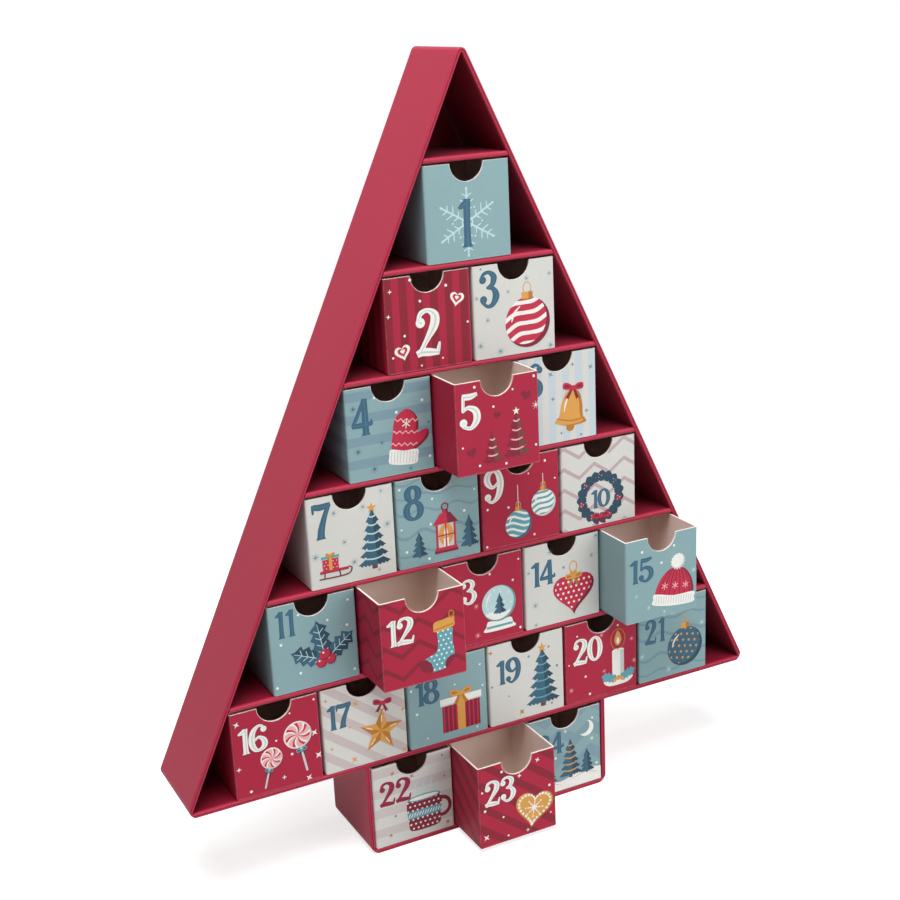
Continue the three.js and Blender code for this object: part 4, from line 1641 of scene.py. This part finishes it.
def wreath_tree():
    """Leaves laid round a ring that faces the viewer, in two rows that lean out and in."""
    tree = Tree("wreath_leaves", [
        ("Centre", "Vector", (0.0, 0.0, 0.0)), ("Radius", "Float", 0.011),
        ("Leaf length", "Float", 0.005), ("Leaf width", "Float", 0.002),
        ("Leaves", "Int", 22), ("Thickness", "Float", 0.0001), ("Ink", "Material", None),
    ])
    given = tree.given
    disc = tree.made("GeometryNodeCurvePrimitiveCircle", {"Resolution": 10, "Radius": 1.0})
    leaf = tree.made("GeometryNodeTransform", {"Geometry": disc, "Scale": tree.vector(
        X=tree.math("MULTIPLY", given["Leaf width"], 0.5),
        Y=tree.math("MULTIPLY", given["Leaf length"], 0.5), Z=1.0,
    )})
    leaf = tree.upright(tree.slab(leaf, given["Thickness"]))
    hoop = tree.made("GeometryNodeCurvePrimitiveCircle",
                     {"Resolution": 64, "Radius": given["Radius"]})
    hoop = tree.upright(hoop, Translation=given["Centre"])
    spread = tree.made("GeometryNodeResampleCurve", {"Curve": hoop, "Count": given["Leaves"]})
    step = tree.math("DIVIDE", math.tau, given["Leaves"])
    index = tree.made("GeometryNodeInputIndex")
    parts = []
    for row, lean in enumerate((LEAF_LEAN, -LEAF_LEAN)):
        layer = tree.math("MULTIPLY_ADD", tree.math("MODULO", index, 3.0), 2.0, float(row))
        lift = tree.vector(Y=tree.math("MULTIPLY", layer, -LEAF_STEP * MM))
        points = tree.made("GeometryNodeSetPosition", {"Geometry": spread, "Offset": lift})
        angle = tree.math("MULTIPLY_ADD", index, tree.math("MULTIPLY", step, -1.0), lean)
        parts.append(tree.made("GeometryNodeInstanceOnPoints", {
            "Points": points, "Instance": leaf, "Rotation": tree.vector(Y=angle),
        }))
    return tree.finish(tree.join(*parts), given["Ink"])


def grown(name, base_mesh, tree, values):
    """Runs a tree on a mesh and keeps the result as a plain mesh."""
    carrier = link(name + "_carrier", base_mesh)
    modifier = carrier.modifiers.new("nodes", "NODES")
    modifier.node_group = tree
    sockets = {item.name: item.identifier for item in tree.interface.items_tree
               if item.in_out == "INPUT"}
    for label, value in values.items():
        modifier[sockets[label]] = value
    context = bpy.context
    context.view_layer.update()
    evaluated = carrier.evaluated_get(context.evaluated_depsgraph_get())
    mesh = bpy.data.meshes.new_from_object(evaluated)
    carrier.modifiers.remove(modifier)
    bpy.data.objects.remove(carrier)
    if not mesh.polygons:
        raise RuntimeError(f"{name} came out empty")
    mesh.name = name
    return link(name, mesh)


# Stage


def make_floor(settings):
    """A wide floor, white to the camera but still in shade under the calendar."""
    mesh = bpy.data.meshes.new("floor")
    corners = [(x * FLOOR_REACH, y * FLOOR_REACH, 0)
               for x, y in ((-1, -1), (1, -1), (1, 1), (-1, 1))]
    mesh.from_pydata(corners, [], [(0, 1, 2, 3)])
    floor = link("floor", mesh)
    look = Shader("floor_white")
    seen = look.seen()
    glow = look.made("ShaderNodeEmission", {"Strength": look.math("MULTIPLY", seen, FLOOR_GLOW)})
    matt = look.made("ShaderNodeBsdfDiffuse", {"Color": settings.floor})
    lit = look.made("ShaderNodeAddShader", {0: matt, 1: glow})
    away = look.add("ShaderNodeVectorMath", {0: look.place}, operation="LENGTH").outputs["Value"]
    far_seen = look.product(look.ramp(away, *FLOOR_WHITE), seen)
    white = look.made("ShaderNodeEmission")
    mixed = look.made("ShaderNodeMixShader", {0: far_seen, 1: lit, 2: white})
    set_material(floor, look.close(mixed))


def make_lamps(settings):
    """A large soft lamp in front and to the right, and one overhead."""
    target = (CAD_BOX[0] + CAD_BOX[1]) / 2
    for name, (spot, side), watts in (
        ("key_lamp", KEY_LAMP, settings.key), ("top_lamp", TOP_LAMP, settings.top)
    ):
        data = bpy.data.lights.new(name, "AREA")
        data.energy = watts
        data.shape = "SQUARE"
        data.size = side
        lamp = link(name, data)
        lamp.location = spot
        lamp.rotation_euler = (target - Vector(spot)).to_track_quat("-Z", "Y").to_euler()


def make_world(settings):
    """Even light from all sides, and plain white behind everything."""
    world = bpy.data.worlds.new("white_surround")
    world.use_nodes = True
    bpy.context.scene.world = world
    look = Nodes(world.node_tree)
    light = look.made("ShaderNodeBackground", {"Strength": settings.sky})
    white = look.made("ShaderNodeBackground", {"Color": (1.0, 1.0, 1.0)})
    pick = look.made("ShaderNodeMixShader", {0: look.seen(), 1: light, 2: white})
    look.add("ShaderNodeOutputWorld", {"Surface": pick})


def make_camera(context):
    """The view of the photograph: from the left, a little higher than the calendar's top."""
    data = bpy.data.cameras.new("camera")
    data.sensor_width = CAMERA_SENSOR
    data.lens = CAMERA_LENS
    data.clip_start, data.clip_end = 0.01, 200.0
    ahead = Vector((-math.sin(CAMERA_YAW) * math.cos(CAMERA_PITCH),
                    math.cos(CAMERA_YAW) * math.cos(CAMERA_PITCH), math.sin(CAMERA_PITCH)))
    right = Vector((math.cos(CAMERA_YAW), math.sin(CAMERA_YAW), 0.0))
    above = right.cross(ahead)
    cos, sin = math.cos(CAMERA_ROLL), math.sin(CAMERA_ROLL)
    turn = Matrix((cos * right + sin * above, cos * above - sin * right, -ahead)).transposed()
    camera = link("camera", data)
    camera.matrix_world = Matrix.LocRotScale(Vector(CAMERA_PLACE), turn.to_quaternion(), None)
    context.scene.camera = camera


# Operators


class WrapBoards(bpy.types.Operator):
    """Wraps the frame's boards in paper"""

    bl_idname = "calendar.wrap_boards"
    bl_label = "Wrap boards"

    def execute(self, context):
        paper = wrapping_paper(context.scene.calendar_boards)
        for name in BOARDS:
            set_material(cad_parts[name], paper)
        fill_seams(paper)
        return {"FINISHED"}


class DressDrawers(bpy.types.Operator):
    """Gives each drawer its printed card"""

    bl_idname = "calendar.dress_drawers"
    bl_label = "Dress drawers"

    def execute(self, context):
        for number in range(1, DRAWERS + 1):
            card = printed_card(number, context.scene.calendar_card)
            set_material(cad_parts[f"drawer_{number:02d}"], card)
        return {"FINISHED"}


class PrintNumerals(bpy.types.Operator):
    """Prints the numerals from 1 to 24"""

    bl_idname = "calendar.print_numerals"
    bl_label = "Print numerals"

    def execute(self, context):
        inks = ink_materials(context)
        for number in range(1, DRAWERS + 1):
            layers = numeral_layers(number)
            piece = flat_piece(f"numeral_{number:02d}", number, layers, NUMERAL_LEVEL, inks)
            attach(piece, f"drawer_{number:02d}")
        return {"FINISHED"}


class PrintPictures(bpy.types.Operator):
    """Prints a picture on each drawer"""

    bl_idname = "calendar.print_pictures"
    bl_label = "Print pictures"

    def execute(self, context):
        inks = ink_materials(context)
        for number, layers in pictures().items():
            # The snowflake lies under the 1
            level = UNDER_NUMERAL_LEVEL if number == 1 else PICTURE_LEVEL
            piece = flat_piece(f"picture_{number:02d}", number, layers, level, inks)
            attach(piece, f"drawer_{number:02d}")
        return {"FINISHED"}


class LayWreath(bpy.types.Operator):
    """Lays leaves round the numeral of the tenth drawer"""

    bl_idname = "calendar.lay_wreath"
    bl_label = "Lay wreath"

    def execute(self, context):
        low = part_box("drawer_10")[0]
        u, v = WREATH_MIDDLE
        start = bpy.data.meshes.new("wreath_start")
        start.from_pydata([(0, 0, 0)], [], [])
        piece = grown("wreath_10", start, wreath_tree(), {
            "Centre": (low.x + u * MM, low.y + INK_ROOT * MM, low.z + v * MM),
            "Radius": WREATH_RADIUS * MM, "Leaf length": LEAF_LENGTH * MM,
            "Leaf width": LEAF_WIDTH * MM, "Leaves": WREATH_LEAVES,
            "Thickness": INK_ROOT * MM + INK_FIRST * MM, "Ink": ink_materials(context)["deep"],
        })
        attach(piece, "drawer_10")
        return {"FINISHED"}


class ScatterSnow(bpy.types.Operator):
    """Scatters flakes and stars over the free part of each front"""

    bl_idname = "calendar.scatter_snow"
    bl_label = "Scatter snow"

    def execute(self, context):
        layout = context.scene.calendar_print
        inks = ink_materials(context)
        tree = snow_tree()
        drawn = pictures()
        inner = place(front_outline(), x=MIDDLE * SPECK_INSET, y=FACE_HEIGHT * SPECK_INSET / 2,
                      size=1 - SPECK_INSET)
        for number, specks in SPECKS.items():
            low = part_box(f"drawer_{number:02d}")[0]
            corners, triangles = region(inner, (), quiet_shapes(number, drawn[number]))
            free = bpy.data.meshes.new(f"free_area_{number:02d}")
            free.from_pydata(
                [(low.x + u * MM, low.y + INK_ROOT * MM, low.z + v * MM) for u, v in corners],
                [], triangles,
            )
            piece = grown(f"snow_{number:02d}", free, tree, {
                "Spacing": layout.spacing, "Flake radius": layout.flake,
                "Star radius": layout.star * specks.reach * MM, "Rays": specks.rays,
                "Thickness": (INK_ROOT + INK_FIRST) * MM, "Star share": specks.share,
                "Seed": layout.seed + number, "Flake ink": inks[specks.dots],
                "Star ink": inks[specks.stars],
            })
            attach(piece, f"drawer_{number:02d}")
        return {"FINISHED"}


class SetStage(bpy.types.Operator):
    """Sets the floor, the lamps, the world and the camera"""

    bl_idname = "calendar.set_stage"
    bl_label = "Set stage"

    def execute(self, context):
        settings = context.scene.calendar_stage
        make_floor(settings)
        make_lamps(settings)
        make_world(settings)
        make_camera(context)
        context.scene.view_settings.view_transform = "Standard"
        return {"FINISHED"}


class CalendarPanel(bpy.types.Panel):
    """Lists the steps and settings of the calendar"""

    bl_idname = "VIEW3D_PT_calendar"
    bl_label = "Advent Calendar"
    bl_space_type = "VIEW_3D"
    bl_region_type = "UI"
    bl_category = "Calendar"

    def draw(self, context):
        for operator in STEPS:
            self.layout.operator(operator.bl_idname)
        for key, group in SETTINGS.items():
            part = self.layout.box()
            part.label(text=group.__doc__)
            for name in group.__annotations__:
                part.prop(getattr(context.scene, key), name)


STEPS = (WrapBoards, DressDrawers, PrintNumerals, PrintPictures, LayWreath, ScatterSnow, SetStage)
CLASSES = (*SETTINGS.values(), *STEPS, CalendarPanel)


def register():
    for item in CLASSES:
        bpy.utils.register_class(item)
    for key, group in SETTINGS.items():
        setattr(bpy.types.Scene, key, PointerProperty(type=group))


def unregister():
    for key in SETTINGS:
        delattr(bpy.types.Scene, key)
    for item in reversed(CLASSES):
        bpy.utils.unregister_class(item)


def main():
    register()
    bpy.ops.calendar.wrap_boards()
    bpy.ops.calendar.dress_drawers()
    bpy.ops.calendar.print_numerals()
    bpy.ops.calendar.print_pictures()
    bpy.ops.calendar.lay_wreath()
    bpy.ops.calendar.scatter_snow()
    bpy.ops.calendar.set_stage()
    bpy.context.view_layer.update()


if __name__ == "__main__":
    main()
